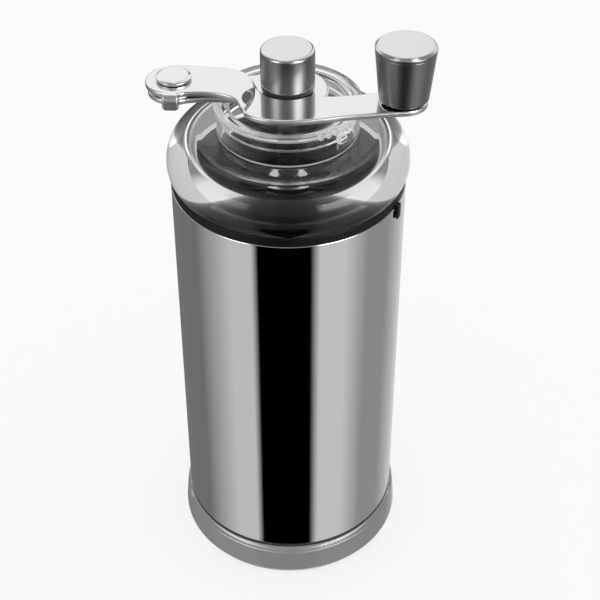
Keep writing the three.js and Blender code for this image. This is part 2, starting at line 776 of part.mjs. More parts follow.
// Outer link's outline: a round end on the pivot, an arm that steps round
// the cap in a notch, and a round end under the knob. Its bends are shares of the pivot's reach.
function outerLinkOutline() {
  const notchStart = radians(-48);
  const notchEnd = radians(-162);
  const knobStart = radians(-78);
  const knobEnd = radians(118);
  const outline = new THREE.Shape();
  const bend = (...shares) => outline.bezierCurveTo(...shares.map((share) => share * pivotReach));
  outline.moveTo(-pivotReach, outerEndRadius);
  outline.absarc(-pivotReach, 0, outerEndRadius, Math.PI / 2, radians(296), false);
  bend(-0.734, -0.198, -0.437, -0.216, -0.404, -0.395);
  bend(-0.371, -0.536, -0.228, -0.635, 0, -0.629);
  bend(0.21, -0.626, 0.419, -0.545, 0.659, -0.509);
  outline.quadraticCurveTo(0.808 * pivotReach, -0.485 * pivotReach,
    knobReach + knobSeatRadius * Math.cos(knobStart), knobSeatRadius * Math.sin(knobStart) - knobOffset);
  outline.absarc(knobReach, -knobOffset, knobSeatRadius, knobStart, knobEnd, false);
  bend(0.793, -0.138, 0.629, -0.177, 0.389, -0.207);
  outline.lineTo(capNotchRadius * Math.cos(notchStart), capNotchRadius * Math.sin(notchStart));
  outline.absarc(0, 0, capNotchRadius, notchStart, notchEnd, true);
  bend(-0.287, 0.018, -0.338, 0.144, -0.479, 0.189);
  bend(-0.629, 0.231, -0.808, outerEndRadius / pivotReach, -1, outerEndRadius / pivotReach);
  return outline;
}

// Outer link: its pivot end stands a small step above the arm, and a tab is
// bent down in front of the pivot as the folding stop.
function outerLinkSolid() {
  const outline = outerLinkOutline();
  const centreX = joggleAhead - pivotReach;
  const below = armBottom - 1;
  const above = outerLinkTop + 1;
  const pivotRegion = solid(
    rod(joggleRadius, below, above, fineTurn).translate(centreX, -joggleAside, 0));
  const armCutter = solid(
    rod(joggleRadius - joggleOverlap, below, above, fineTurn).translate(centreX, -joggleAside, 0));
  const pivotEnd = solid(plate(outline, outerLinkBottom, outerLinkTop, 7)).intersect(pivotRegion);
  const arm = cut(solid(plate(outline, armBottom, armTop, 7)), armCutter);
  const tabInner = innerEndRadius + looseGap;
  const tab = new THREE.BoxGeometry(stopTabWidth, plateThickness, stopTabDepth)
    .translate(-pivotReach + stopTabOffset, -tabInner - plateThickness / 2,
      outerLinkTop - stopTabDepth / 2);
  const pivotHole = rod(rivetRadius + runningGap, below, above, mediumTurn)
    .translate(-pivotReach, 0, 0);
  const pinHole = rod(knobPinRadius + runningGap, below, above, mediumTurn)
    .translate(knobReach, -knobOffset, 0);
  return cut(joined(pivotEnd, arm, solid(tab)), solid(pivotHole), solid(pinHole));
}

// Pivot rivet: a domed head on the outer link and a flat foot under the inner one.
function rivetGeometry() {
  const foot = innerLinkBottom - rivetFootHeight;
  const footRadius = rivetHeadRadius - rivetFootInset;
  const seat = outerLinkTop + slideGap;
  const profile = new THREE.Path();
  profile.moveTo(0, foot);
  profile.lineTo(footRadius - knobEdge, foot);
  profile.lineTo(footRadius, foot + knobEdge);
  profile.lineTo(footRadius, innerLinkBottom);
  profile.lineTo(rivetRadius, innerLinkBottom);
  profile.lineTo(rivetRadius, seat);
  profile.lineTo(rivetHeadRadius, seat);
  profile.lineTo(rivetHeadRadius, seat + rivetHeadHeight / 2);
  profile.quadraticCurveTo(rivetHeadRadius, seat + rivetHeadHeight,
    rivetHeadRadius - rivetEdge, seat + rivetHeadHeight);
  profile.lineTo(0, seat + rivetHeadHeight);
  return turned(profile.getPoints(2), smallTurn).translate(-pivotReach, 0, 0);
}

// Cap: a polished cylinder with a rounded rim, a fine seam and a blind six-sided bore.
function capSolid() {
  const seam = capBottom + capSeamHeight;
  const profile = new THREE.Path();
  profile.moveTo(0, capBottom);
  profile.lineTo(capRadius - capFootEdge, capBottom);
  profile.lineTo(capRadius, capBottom + capFootEdge);
  profile.lineTo(capRadius, seam);
  profile.lineTo(capRadius - capSeam, seam + capSeam / 2);
  profile.lineTo(capRadius, seam + capSeam);
  profile.lineTo(capRadius, capTop - capRounding);
  profile.absarc(capRadius - capRounding, capTop - capRounding, capRounding, 0, Math.PI / 2, false);
  profile.lineTo(0, capTop);
  const boreTop = capTop - capRoof;
  const bore = hexBar(crankHexFlats + 2 * hexGap, capBottom - 1, boreTop);
  return cut(solid(turned(profile.getPoints(2), mediumTurn)), solid(bore));
}

// Knob pin: it is fixed under the arm, and its head holds the knob from inside.
function knobPinGeometry() {
  const foot = armBottom - knobPinFootHeight;
  const headLow = knobTop - knobBoreDepth + slideGap;
  return turned([
    [0, foot],
    [knobPinHeadRadius - knobEdge, foot],
    [knobPinHeadRadius, foot + knobEdge],
    [knobPinHeadRadius, armBottom],
    [knobPinRadius, armBottom],
    [knobPinRadius, headLow],
    [knobPinHeadRadius, headLow],
    [knobPinHeadRadius, headLow + knobPinHead],
    [0, headLow + knobPinHead],
  ], smallTurn);
}

// Knob: a tapered grip, bored through for its pin, with a wider bore for the pin's head.
function knobGeometry() {
  const bore = knobPinRadius + runningGap;
  const wideBore = knobPinHeadRadius + looseGap;
  const boreLow = knobTop - knobBoreDepth;
  const capSeat = knobTop - knobCapThickness;
  const slope = (knobTopRadius - knobFootRadius) / knobHeight;
  return turned([
    [bore, knobBottom],
    [knobFootRadius - knobEdge, knobBottom],
    [knobFootRadius, knobBottom + knobEdge],
    [knobTopRadius - slope * knobCapThickness, capSeat],
    [wideBore, capSeat],
    [wideBore, boreLow],
    [bore, boreLow],
  ], mediumTurn);
}

// Knob cap: a disc with a chamfered rim that carries the knob's taper on and closes its bore.
function knobCapGeometry() {
  const capSeat = knobTop - knobCapThickness;
  const slope = (knobTopRadius - knobFootRadius) / knobHeight;
  return turned([
    [0, capSeat],
    [knobTopRadius - slope * knobCapThickness, capSeat],
    [knobTopRadius, knobTop - knobChamfer],
    [knobTopRadius - knobChamfer * 0.5, knobTop - knobChamfer * 0.25],
    [knobTopRadius - knobChamfer * 1.2, knobTop],
    [0, knobTop],
  ], mediumTurn);
}

const grinder = new THREE.Group();

// Jar and sleeve: what the hand holds
const bodyGroup = new THREE.Group();
bodyGroup.add(
  piece("jar", jarGeometry(), clearAcrylic),
  piece("steel_sleeve", ring(sleeveBore, sleeveRadius, sleeveBottom, sleeveTop, fineTurn), polishedSteel),
);

// Head: what unscrews from the jar
const headGroup = new THREE.Group();
const gasketInner = jarBore + (jarWall - gasketWidth) / 2;
headGroup.add(
  piece("jar_gasket", ring(gasketInner, gasketInner + gasketWidth, jarTop, sleeveTop), blackRubber),
  piece("collar", collarSolid(), blackPlastic),
  piece("hopper", hopperSolid(), clearAcrylic),
  piece("funnel", funnelSolid(), blackPlastic),
  piece("bushing", turned([
    [spindleRadius + runningGap, hubBottom],
    [bushingRadius, hubBottom],
    [bushingRadius, bearingTop],
    [bushingFlangeRadius, bearingTop],
    [bushingFlangeRadius, bearingTop + bushingFlange],
    [spindleRadius + runningGap, bearingTop + bushingFlange],
  ], smallTurn), plainSteel),
  piece("burr_housing", housingSolid(), blackPlastic),
  piece("outer_burr", outerBurrSolid(), ceramic),
  piece("burr_retainer", retainerSolid(), blackPlastic),
);
for (let i = 0; i < 3; i++) {
  const retainerSeat = housingBottom - retainerThickness;
  const flangeSeat = flangeBottom - housingFlange;
  headGroup.add(
    piece(`retainer_screw_${i + 1}`, screwSolid(retainerSeat, retainerScrewLength, 120 * i), plainSteel),
    piece(`flange_screw_${i + 1}`, screwSolid(flangeSeat, flangeScrewLength, 60 + 120 * i), plainSteel),
  );
}

// Spindle with the inner burr and its adjustment
const spindleGroup = new THREE.Group();
spindleGroup.add(
  piece("spindle", spindleSolid(), plainSteel),
  piece("spindle_clip", clipSolid(), plainSteel),
  piece("spring_washer", ring(spindleRadius + runningGap, springWasherRadius,
    springWasherTop - springWasherThickness, springWasherTop, smallTurn), plainSteel),
  piece("burr_spring", springGeometry(), plainSteel),
  piece("inner_burr", innerBurrSolid(), ceramic),
  piece("click_plate", clickPlateSolid(), plainSteel),
  piece("adjusting_nut", nutSolid(), blackPlastic),
);

// Crank, as it is folded over the lid
const crankGroup = new THREE.Group();
crankGroup.rotation.z = radians(crankTurn);
const pivotWasher = ring(rivetRadius + runningGap, pivotWasherRadius,
  innerLinkTop, outerLinkBottom - slideGap, smallTurn);
const hubWasher = cut(
  solid(rod(hubWasherRadius, crankSeat, innerLinkBottom, mediumTurn)),
  solid(hexBar(crankHexFlats + 2 * hexGap, crankSeat - 1, innerLinkBottom + 1)));
const capWasher = cut(
  solid(rod(capWasherRadius, innerLinkTop, capBottom, mediumTurn)),
  solid(hexBar(crankHexFlats + 2 * hexGap, innerLinkTop - 1, capBottom + 1)));
crankGroup.add(
  piece("hub_washer", hubWasher, plainSteel),
  piece("inner_link", innerLinkSolid(), crankSteel),
  piece("cap_washer", capWasher, blackPlastic),
  piece("crank_cap", capSolid(), knobSteel),
  piece("pivot_washer", pivotWasher.translate(-pivotReach, 0, 0), plainSteel),
  piece("pivot_rivet", rivetGeometry(), crankSteel),
  piece("outer_link", outerLinkSolid(), crankSteel),
);
const knobGroup = new THREE.Group();
knobGroup.position.set(knobReach, -knobOffset, 0);
knobGroup.add(
  piece("knob_pin", knobPinGeometry(), plainSteel),
  piece("knob_washer", ring(knobPinRadius + runningGap, knobWasherRadius,
    armTop, armTop + knobWasherThickness, smallTurn), blackPlastic),
  piece("knob", knobGeometry(), knobSteel),
  piece("knob_cap", knobCapGeometry(), crankSteel),
);
crankGroup.add(knobGroup);

grinder.add(bodyGroup, headGroup, spindleGroup, piece("lid", lidSolid(), clearAcrylic), crankGroup);

export default grinder;
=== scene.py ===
"""Fine surfaces and finishes of a hand coffee grinder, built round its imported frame.

Sizes are in millimetres unless a name says otherwise, and become metres where a mesh is made.
"""
import logging
import math
from collections.abc import Callable, Iterable
from dataclasses import dataclass, field
from enum import Enum

import bmesh
import bpy
from mathutils import Matrix, Vector
from mathutils.geometry import delaunay_2d_cdt


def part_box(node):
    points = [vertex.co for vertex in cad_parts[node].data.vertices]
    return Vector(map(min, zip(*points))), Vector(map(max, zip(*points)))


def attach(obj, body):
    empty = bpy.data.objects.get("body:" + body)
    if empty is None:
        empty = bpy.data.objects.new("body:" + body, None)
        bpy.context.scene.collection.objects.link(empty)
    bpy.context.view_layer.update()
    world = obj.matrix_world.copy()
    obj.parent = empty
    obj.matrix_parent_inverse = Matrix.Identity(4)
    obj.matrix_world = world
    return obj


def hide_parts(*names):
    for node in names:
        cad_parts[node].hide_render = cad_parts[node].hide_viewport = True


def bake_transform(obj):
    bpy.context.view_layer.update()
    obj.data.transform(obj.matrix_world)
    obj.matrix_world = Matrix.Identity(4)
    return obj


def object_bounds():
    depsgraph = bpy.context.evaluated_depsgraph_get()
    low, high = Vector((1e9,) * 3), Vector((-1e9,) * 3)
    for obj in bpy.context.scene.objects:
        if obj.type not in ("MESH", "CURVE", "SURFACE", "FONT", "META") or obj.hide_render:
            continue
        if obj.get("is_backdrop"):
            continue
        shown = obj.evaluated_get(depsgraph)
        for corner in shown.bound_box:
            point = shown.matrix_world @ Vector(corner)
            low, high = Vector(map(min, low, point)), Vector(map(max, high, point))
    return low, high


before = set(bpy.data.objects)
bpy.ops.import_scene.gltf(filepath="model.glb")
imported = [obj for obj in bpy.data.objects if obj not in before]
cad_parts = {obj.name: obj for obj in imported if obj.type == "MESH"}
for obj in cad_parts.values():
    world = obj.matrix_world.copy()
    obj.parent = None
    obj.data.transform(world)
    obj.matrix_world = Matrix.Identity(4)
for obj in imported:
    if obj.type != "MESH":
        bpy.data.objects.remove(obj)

MM = 0.001

# Facets round a full turn of the sleeve, and of large, middling and small pieces.
MIRROR = 512
FINE = 256
MEDIUM = 128
SMALL = 64

# Edges over this angle in degrees stay sharp.
SHARP = 32.0

# Nearly all of a noise lies between these two values.
NOISE_LOW = 0.3
NOISE_HIGH = 0.7

Point = tuple[float, float]
Pair = tuple[float, float]
Triple = tuple[float, float, float]
Form = Callable[[Vector], Vector]

log = logging.getLogger("grinder")


class Slot(Enum):
    """The record's material slots."""

    ACRYLIC = "clear_acrylic"
    SLEEVE = "polished_steel"
    CRANK = "crank_steel"
    KNOB = "knob_steel"
    PLAIN = "plain_steel"
    PLASTIC = "black_plastic"
    RUBBER = "black_rubber"
    CERAMIC = "ceramic"


class Body(Enum):
    """The bodies that pieces ride on."""

    JAR = "body"
    HEAD = "head"
    SPINDLE = "spindle"
    LID = "lid"
    CRANK = "crank"
    ARM = "arm"
    KNOB = "knob"


class Edge(float, Enum):
    """Radii of rounded edges, in millimetres."""

    HAIR = 0.05
    CRISP = 0.1
    KEEN = 0.15
    SLIGHT = 0.2
    MILD = 0.25
    SOFT = 0.3
    BLUNT = 0.4
    ROUND = 0.5
    WIDE = 0.6
    BROAD = 0.8
    FULL = 1.0


class Grain(Enum):
    """How a finish's grain runs over a surface, as its fineness along three axes."""

    EVEN = (1.0, 1.0, 1.0)
    UPRIGHT = (1.0, 1.0, 0.03)
    TURNED = (0.06, 0.06, 1.0)
    ALONG = (0.05, 1.0, 1.0)


def grey(level: float) -> tuple[float, float, float, float]:
    """Gives a grey as a shader's colour."""
    return (level, level, level, 1.0)


class NodeGraph:
    """A small builder for a shader's nodes and links."""

    def __init__(self, tree: bpy.types.NodeTree) -> None:
        """Clears the tree.

        Args:
            tree: the node tree to fill.
        """
        self.tree = tree
        tree.nodes.clear()

    def add(self, kind: str, **values: object) -> bpy.types.Node:
        """Adds a node and sets its properties or input sockets by name.

        Args:
            kind: the node's type name.
            **values: property names, or socket names with underscores for spaces.

        Returns:
            The new node.
        """
        node = self.tree.nodes.new(kind)
        for name, value in values.items():
            label = name.replace("_", " ")
            if label in node.inputs:
                node.inputs[label].default_value = value
            else:
                setattr(node, name, value)
        return node

    def link(self, source: bpy.types.NodeSocket, target: bpy.types.NodeSocket) -> None:
        """Joins an output socket to an input socket."""
        self.tree.links.new(source, target)

    def blend(self, a: object, b: object, share: object, kind: str = "FLOAT") -> bpy.types.NodeSocket:
        """Mixes two values or colours.

        Args:
            a: the value or socket at share 0.
            b: the value or socket at share 1.
            share: the share, as a number or a socket.
            kind: FLOAT or RGBA.

        Returns:
            The mixed output socket.
        """
        node = self.add("ShaderNodeMix", data_type=kind)
        places = {"FLOAT": (0, 2, 3, 0), "RGBA": (0, 6, 7, 2)}[kind]
        for place, value in zip(places, (share, a, b)):
            if isinstance(value, bpy.types.NodeSocket):
                self.link(value, node.inputs[place])
            else:
                node.inputs[place].default_value = value
        return node.outputs[places[3]]

    def maths(self, operation: str, *values: object) -> bpy.types.NodeSocket:
        """Works out one arithmetic step.

        Args:
            operation: the Math node's operation.
            *values: numbers or sockets.

        Returns:
            The result's socket.
        """
        node = self.add("ShaderNodeMath", operation=operation)
        for place, value in enumerate(values):
            if isinstance(value, bpy.types.NodeSocket):
                self.link(value, node.inputs[place])
            else:
                node.inputs[place].default_value = value
        return node.outputs[0]

    def bands(self, position: bpy.types.NodeSocket, stops: Iterable[Pair]) -> bpy.types.NodeSocket:
        """Reads a grey level from a ramp.

        Args:
            position: the socket with the place along the ramp, from 0 to 1.
            stops: pairs of place and grey level.

        Returns:
            The grey level's socket.
        """
        ramp = self.add("ShaderNodeValToRGB")
        self.link(position, ramp.inputs[0])
        elements = ramp.color_ramp.elements
        stops = list(stops)
        for place, level in stops[1:-1]:
            elements.new(place)
        for element, (place, level) in zip(elements, stops):
            element.position = place
            element.color = grey(level)
        return ramp.outputs[0]


@dataclass(frozen=True)
class Finish:
    """One procedural finish, with grain in its roughness, its tone and its surface, and painted shade on its
    upright faces.

    Attributes:
        slot: the record's slot that the finish stands for.
        colour: linear base colour.
        metallic: 1 for metal.
        roughness: the middle roughness.
        spread: how far the roughness wanders to each side.
        tone: how far the base colour wanders, as a share.
        grain: how the grain runs.
        grain_size: the grain's size across.
        grain_detail: how many finer layers the grain has.
        relief: the depth of the grain in the surface.
        smudge_size: size of the large soft patches in the roughness.
        smudge_detail: how many finer layers they have.
        painted_side_shade: share of the colour that upright faces keep, as painted shade that darkens them.
        side_roughness: how much rougher upright faces are.
        upright_end: faces whose normal rises less than this count as upright.
        level_start: faces whose normal rises more than this count as level.
    """

    slot: Slot
    colour: Triple
    metallic: float = 0.0
    roughness: float = 0.4
    spread: float = 0.05
    tone: float = 0.0
    grain: Grain = Grain.EVEN
    grain_size: float = 0.4
    grain_detail: float = 4.0
    relief: float = 0.001
    smudge_size: float = 14.0
    smudge_detail: float = 2.0
    # Painted shade: the share of the colour that upright faces keep; 1 paints none.
    painted_side_shade: float = 1.0
    side_roughness: float = 0.0
    upright_end: float = 0.35
    level_start: float = 0.8

    def shader(self, graph: NodeGraph) -> bpy.types.Node:
        """Adds the main shader with its constant values.

        Args:
            graph: the material's nodes.

        Returns:
            The shader node.
        """
        return graph.add(
            "ShaderNodeBsdfPrincipled",
            Base_Color=(*self.colour, 1.0),
            Metallic=self.metallic,
            Roughness=self.roughness,
        )

    def noise(self, graph: NodeGraph, size: float, detail: float, grain: Grain) -> bpy.types.NodeSocket:
        """Adds a noise over the object's own coordinates.

        Args:
            graph: the material's nodes.
            size: the noise's size across.
            detail: how many finer layers it has.
            grain: how it is stretched.

        Returns:
            The noise's value socket.
        """
        place = graph.add("ShaderNodeTexCoord")
        scaled = graph.add("ShaderNodeMapping")
        scaled.inputs["Scale"].default_value = [stretch / (size * MM) for stretch in grain.value]
        noise = graph.add("ShaderNodeTexNoise", Scale=1.0, Detail=detail)
        graph.link(place.outputs["Object"], scaled.inputs["Vector"])
        graph.link(scaled.outputs["Vector"], noise.inputs["Vector"])
        return noise.outputs[0]

    def upright(self, graph: NodeGraph) -> bpy.types.NodeSocket:
        """Says how upright a face stands.

        Args:
            graph: the material's nodes.

        Returns:
            A socket with 1 on upright faces and 0 on level ones.
        """
        place = graph.add("ShaderNodeTexCoord")
        parts = graph.add("ShaderNodeSeparateXYZ")
        graph.link(place.outputs["Normal"], parts.inputs[0])
        level = graph.maths("ABSOLUTE", parts.outputs["Z"])
        share = graph.add(
            "ShaderNodeMapRange",
            From_Min=self.upright_end,
            From_Max=self.level_start,
            To_Min=1.0,
            To_Max=0.0,
        )
        graph.link(level, share.inputs[0])
        return share.outputs[0]

    def material(self) -> bpy.types.Material:
        """Makes the finish's material, or returns the one made before.

        Returns:
            The material.
        """
        name = type(self).__name__ + "_" + self.slot.value
        made = bpy.data.materials.get(name)
        if made:
            return made
        made = bpy.data.materials.new(name)
        made.use_nodes = True
        graph = NodeGraph(made.node_tree)
        shader = self.shader(graph)
        out = graph.add("ShaderNodeOutputMaterial")
        graph.link(shader.outputs[0], out.inputs["Surface"])
        fine = self.noise(graph, self.grain_size, self.grain_detail, self.grain)
        smudge = self.noise(graph, self.smudge_size, self.smudge_detail, Grain.EVEN)
        worn = graph.blend(fine, smudge, 0.5)
        rough = graph.add(
            "ShaderNodeMapRange",
            From_Min=NOISE_LOW,
            From_Max=NOISE_HIGH,
            To_Min=self.roughness - self.spread,
            To_Max=self.roughness + self.spread,
        )
        graph.link(worn, rough.inputs[0])
        roughness = rough.outputs[0]
        if self.side_roughness:
            roughness = graph.maths("MULTIPLY_ADD", self.upright(graph), self.side_roughness, roughness)
        graph.link(roughness, shader.inputs["Roughness"])
        # Painted shade: upright faces get a darker base colour than level ones.
        if self.painted_side_shade < 1.0:
            shade = [channel * self.painted_side_shade for channel in self.colour]
            tint = graph.blend((*self.colour, 1.0), (*shade, 1.0), self.upright(graph), "RGBA")
            graph.link(tint, shader.inputs["Base Color"])
        if self.tone:
            dark = [channel * (1 - self.tone) for channel in self.colour]
            light = [min(1.0, channel * (1 + self.tone)) for channel in self.colour]
            tint = graph.blend((*dark, 1.0), (*light, 1.0), smudge, "RGBA")
            graph.link(tint, shader.inputs["Base Color"])
        if self.relief:
            bump = graph.add("ShaderNodeBump", Strength=0.5, Distance=self.relief * MM)
            graph.link(fine, bump.inputs["Height"])
            graph.link(bump.outputs[0], shader.inputs["Normal"])
        return made


@dataclass(frozen=True)
class MirrorSteel(Finish):
    """The sleeve's mirror polish, with a faint upright grain and hand marks."""

    slot: Slot = Slot.SLEEVE
    colour: Triple = (0.80, 0.80, 0.81)
    metallic: float = 1.0
    roughness: float = 0.05
    spread: float = 0.02
    grain: Grain = Grain.UPRIGHT
    grain_size: float = 0.25
    relief: float = 0.00002


@dataclass(frozen=True)
class PressedSteel(Finish):
    """The crank links' bright polish over pressed sheet, with painted shade darkening their upright edges.
    """

    slot: Slot = Slot.CRANK
    colour: Triple = (0.88, 0.88, 0.89)
    metallic: float = 1.0
    roughness: float = 0.08
    spread: float = 0.03
    grain: Grain = Grain.ALONG
    grain_size: float = 0.2
    relief: float = 0.00005
    # Painted shade: upright edges keep this share of the colour.
    painted_side_shade: float = 0.65
    side_roughness: float = 0.4


@dataclass(frozen=True)
class TurnedSteel(Finish):
    """The cap's and knob's turned steel: painted shade darkens their upright sides, and their polished ends
    stay bright.
    """

    slot: Slot = Slot.KNOB
    colour: Triple = (0.80, 0.80, 0.81)
    metallic: float = 1.0
    roughness: float = 0.10
    spread: float = 0.03
    grain: Grain = Grain.TURNED
    grain_size: float = 0.15
    relief: float = 0.0001
    # Painted shade: upright sides keep only this share of the colour.
    painted_side_shade: float = 0.34
    side_roughness: float = 0.26


@dataclass(frozen=True)
class PlainSteel(Finish):
    """Plain machined steel of shafts, washers and screws."""

    slot: Slot = Slot.PLAIN
    colour: Triple = (0.62, 0.62, 0.63)
    metallic: float = 1.0
    roughness: float = 0.24
    spread: float = 0.07
    tone: float = 0.08
    grain: Grain = Grain.TURNED
    grain_size: float = 0.15
    relief: float = 0.0006


@dataclass(frozen=True)
class ClearAcrylic(Finish):
    """Clear moulded acrylic with the faintest wear, and a painted glow on rays that it has mirrored many
    times.

    Attributes:
        index: how strongly it bends light.
        painted_glow: painted light, a glow that the acrylic gives off on rays that the clear walls have
            thrown about many times, in place of the light kept in them.
        deep_after: how many mirrorings that takes.
        sheen_tint: how strongly faces seen straight on mirror the room.
    """

    slot: Slot = Slot.ACRYLIC
    colour: Triple = (0.97, 0.975, 0.975)
    roughness: float = 0.012
    spread: float = 0.01
    relief: float = 0.00002
    index: float = 1.49
    # Painted light: how strongly the acrylic glows on deeply mirrored rays.
    painted_glow: float = 0.3
    deep_after: float = 3.5
    sheen_tint: float = 0.45

    def shader(self, graph: NodeGraph) -> bpy.types.Node:
        """Adds the clear shader."""
        shader = super().shader(graph)
        shader.inputs["Transmission Weight"].default_value = 1.0
        shader.inputs["IOR"].default_value = self.index
        shader.inputs["Specular Tint"].default_value = grey(self.sheen_tint)
        # Painted light: the acrylic glows on rays mirrored more than deep_after times.
        path = graph.add("ShaderNodeLightPath")
        deep = graph.maths("GREATER_THAN", path.outputs["Glossy Depth"], self.deep_after)
        graph.link(graph.maths("MULTIPLY", deep, self.painted_glow), shader.inputs["Emission Strength"])
        return shader


@dataclass(frozen=True)
class ThickAcrylic(ClearAcrylic):
    """The same acrylic in the jar's thick foot, with a weaker painted glow."""

    # Painted light: a weaker glow in the thick foot.
    painted_glow: float = 0.11


@dataclass(frozen=True)
class BlackPlastic(Finish):
    """Black moulded plastic with a fine spark-eroded grain and little gloss."""

    slot: Slot = Slot.PLASTIC
    colour: Triple = (0.006, 0.006, 0.0065)
    roughness: float = 0.4
    spread: float = 0.08
    tone: float = 0.3
    grain_size: float = 0.35
    relief: float = 0.02
    gloss: float = 0.2

    def shader(self, graph: NodeGraph) -> bpy.types.Node:
        """Adds the shader with little gloss."""
        shader = super().shader(graph)
        shader.inputs["Specular IOR Level"].default_value = self.gloss
        return shader


@dataclass(frozen=True)
class BlackRubber(Finish):
    """Soft black rubber with a dusty bloom."""

    slot: Slot = Slot.RUBBER
    colour: Triple = (0.025, 0.025, 0.026)
    roughness: float = 0.75
    spread: float = 0.1
    tone: float = 0.4
    grain_size: float = 0.5
    relief: float = 0.03


@dataclass(frozen=True)
class Ceramic(Finish):
    """Unglazed white ceramic, finely sintered."""

    slot: Slot = Slot.CERAMIC
    colour: Triple = (0.78, 0.76, 0.71)
    roughness: float = 0.5
    spread: float = 0.1
    tone: float = 0.05
    grain_size: float = 0.3
    relief: float = 0.02


FINISHES = {
    finish.slot: finish
    for finish in (
        MirrorSteel(), PressedSteel(), TurnedSteel(), PlainSteel(),
        ClearAcrylic(), BlackPlastic(), BlackRubber(), Ceramic(),
    )
}


def arc(centre: Point, radius: float, start: float, end: float, steps: int = 12) -> list[Point]:
    """Samples an arc.

    Args:
        centre: the arc's centre.
        radius: its radius.
        start: first angle in degrees.
        end: last angle in degrees.
        steps: number of chords.

    Returns:
        The points from start to end.
    """
    angles = [math.radians(start + (end - start) * i / steps) for i in range(steps + 1)]
    return [(centre[0] + radius * math.cos(a), centre[1] + radius * math.sin(a)) for a in angles]


def on_circle(centre: Point, radius: float, angle: float) -> Point:
    """Finds the point of a circle at an angle in degrees."""
    return arc(centre, radius, angle, angle, 1)[0]


def filleted(corners: Iterable[tuple[float, ...]], steps: int = 5, closed: bool = True) -> list[Point]:
    """Rounds the corners of a profile.

    Args:
        corners: points as (x, y), or (x, y, fillet radius).
        steps: chords on each fillet.
        closed: whether the last point joins the first.

    Returns:
        The rounded profile.
    """
    corners = [(*corner, 0.0)[:3] for corner in corners]
    points: list[Point] = []
    for i, (x, y, radius) in enumerate(corners):
        open_end = not closed and i in (0, len(corners) - 1)
        if radius <= 0 or open_end:
            points.append((x, y))
            continue
        here = Vector((x, y))
        before = (Vector(corners[i - 1][:2]) - here).normalized()
        after = (Vector(corners[(i + 1) % len(corners)][:2]) - here).normalized()
        half = before.angle(after) / 2
        reach = radius / math.tan(half)
        centre = here + (before + after).normalized() * (radius / math.sin(half))
        first = here + before * reach - centre
        sweep = first.angle_signed(here + after * reach - centre)
        for step in range(steps + 1):
            turned = first.copy()
            turned.rotate(Matrix.Rotation(-sweep * step / steps, 2))
            points.append(tuple(centre + turned))
    return points


def mesh_object(name: str, mesh_data: bmesh.types.BMesh) -> bpy.types.Object:
    """Turns a mesh in millimetres into a smooth-shaded object in metres.

    Args:
        name: the object's name.
        mesh_data: the mesh, which is freed.

    Returns:
        The new object, linked to the scene.
    """
    bmesh.ops.recalc_face_normals(mesh_data, faces=mesh_data.faces)
    bmesh.ops.scale(mesh_data, vec=(MM, MM, MM), verts=mesh_data.verts)
    mesh = bpy.data.meshes.new(name)
    mesh_data.to_mesh(mesh)
    mesh_data.free()
    mesh.polygons.foreach_set("use_smooth", [True] * len(mesh.polygons))
    mesh.set_sharp_from_angle(angle=math.radians(SHARP))
    made = bpy.data.objects.new(name, mesh)
    bpy.context.scene.collection.objects.link(made)
    return made


def even_shading(piece: bpy.types.Object) -> bpy.types.Object:
    """Weights the piece's normals by face area, so that flats stay flat beside fillets."""
    weights = piece.modifiers.new("normals", "WEIGHTED_NORMAL")
    weights.keep_sharp = True
    return piece


def turned(
    name: str,
    profile: list[tuple[float, ...]],
    segments: int = FINE,
    centre: Point = (0.0, 0.0),
    steps: int = 5,
) -> bpy.types.Object:
    """Turns a profile about an upright axis.

    Args:
        name: the object's name.
        profile: points as (radius, height), or (radius, height, fillet radius). It starts and ends
            on the axis, or its last point joins its first.
        segments: facets round a full turn.
        centre: where the axis stands.
        steps: chords on each fillet.

    Returns:
        The turned object.
    """
    made = bmesh.new()
    closed = profile[0][0] > 0
    rings = []
    for radius, height in filleted(profile, steps, closed):
        if radius < 1e-6:
            rings.append([made.verts.new((centre[0], centre[1], height))])
            continue
        rings.append([
            made.verts.new((
                centre[0] + radius * math.cos(2 * math.pi * i / segments),
                centre[1] + radius * math.sin(2 * math.pi * i / segments),
                height,
            ))
            for i in range(segments)
        ])
    pairs = list(zip(rings, rings[1:]))
    if closed:
        pairs.append((rings[-1], rings[0]))
    for low, high in pairs:
        for i in range(segments):
            j = (i + 1) % segments
            if len(low) == 1:
                made.faces.new((low[0], high[j], high[i]))
            elif len(high) == 1:
                made.faces.new((low[i], low[j], high[0]))
            else:
                made.faces.new((low[i], low[j], high[j], high[i]))
    return even_shading(mesh_object(name, made))


def block(name: str, size: Triple, centre: Triple, rim: float, azimuth: float = 0.0) -> bpy.types.Object:
    """Makes a block with rounded edges, turned about the upright axis.

    Args:
        name: the object's name.
        size: its three sides.
        centre: its centre before the turn.
        rim: the radius of its edges.
        azimuth: the turn about the origin's axis, in degrees.

    Returns:
        The block.
    """
    made = bmesh.new()
    bmesh.ops.create_cube(made, size=1.0)
    bmesh.ops.scale(made, vec=size, verts=made.verts)
    bmesh.ops.bevel(made, geom=list(made.edges), offset=rim, segments=3, profile=0.5, affect="EDGES")
    bmesh.ops.translate(made, vec=centre, verts=made.verts)
    turn = Matrix.Rotation(math.radians(azimuth), 3, "Z")
    bmesh.ops.rotate(made, cent=(0, 0, 0), matrix=turn, verts=made.verts)
    return even_shading(mesh_object(name, made))


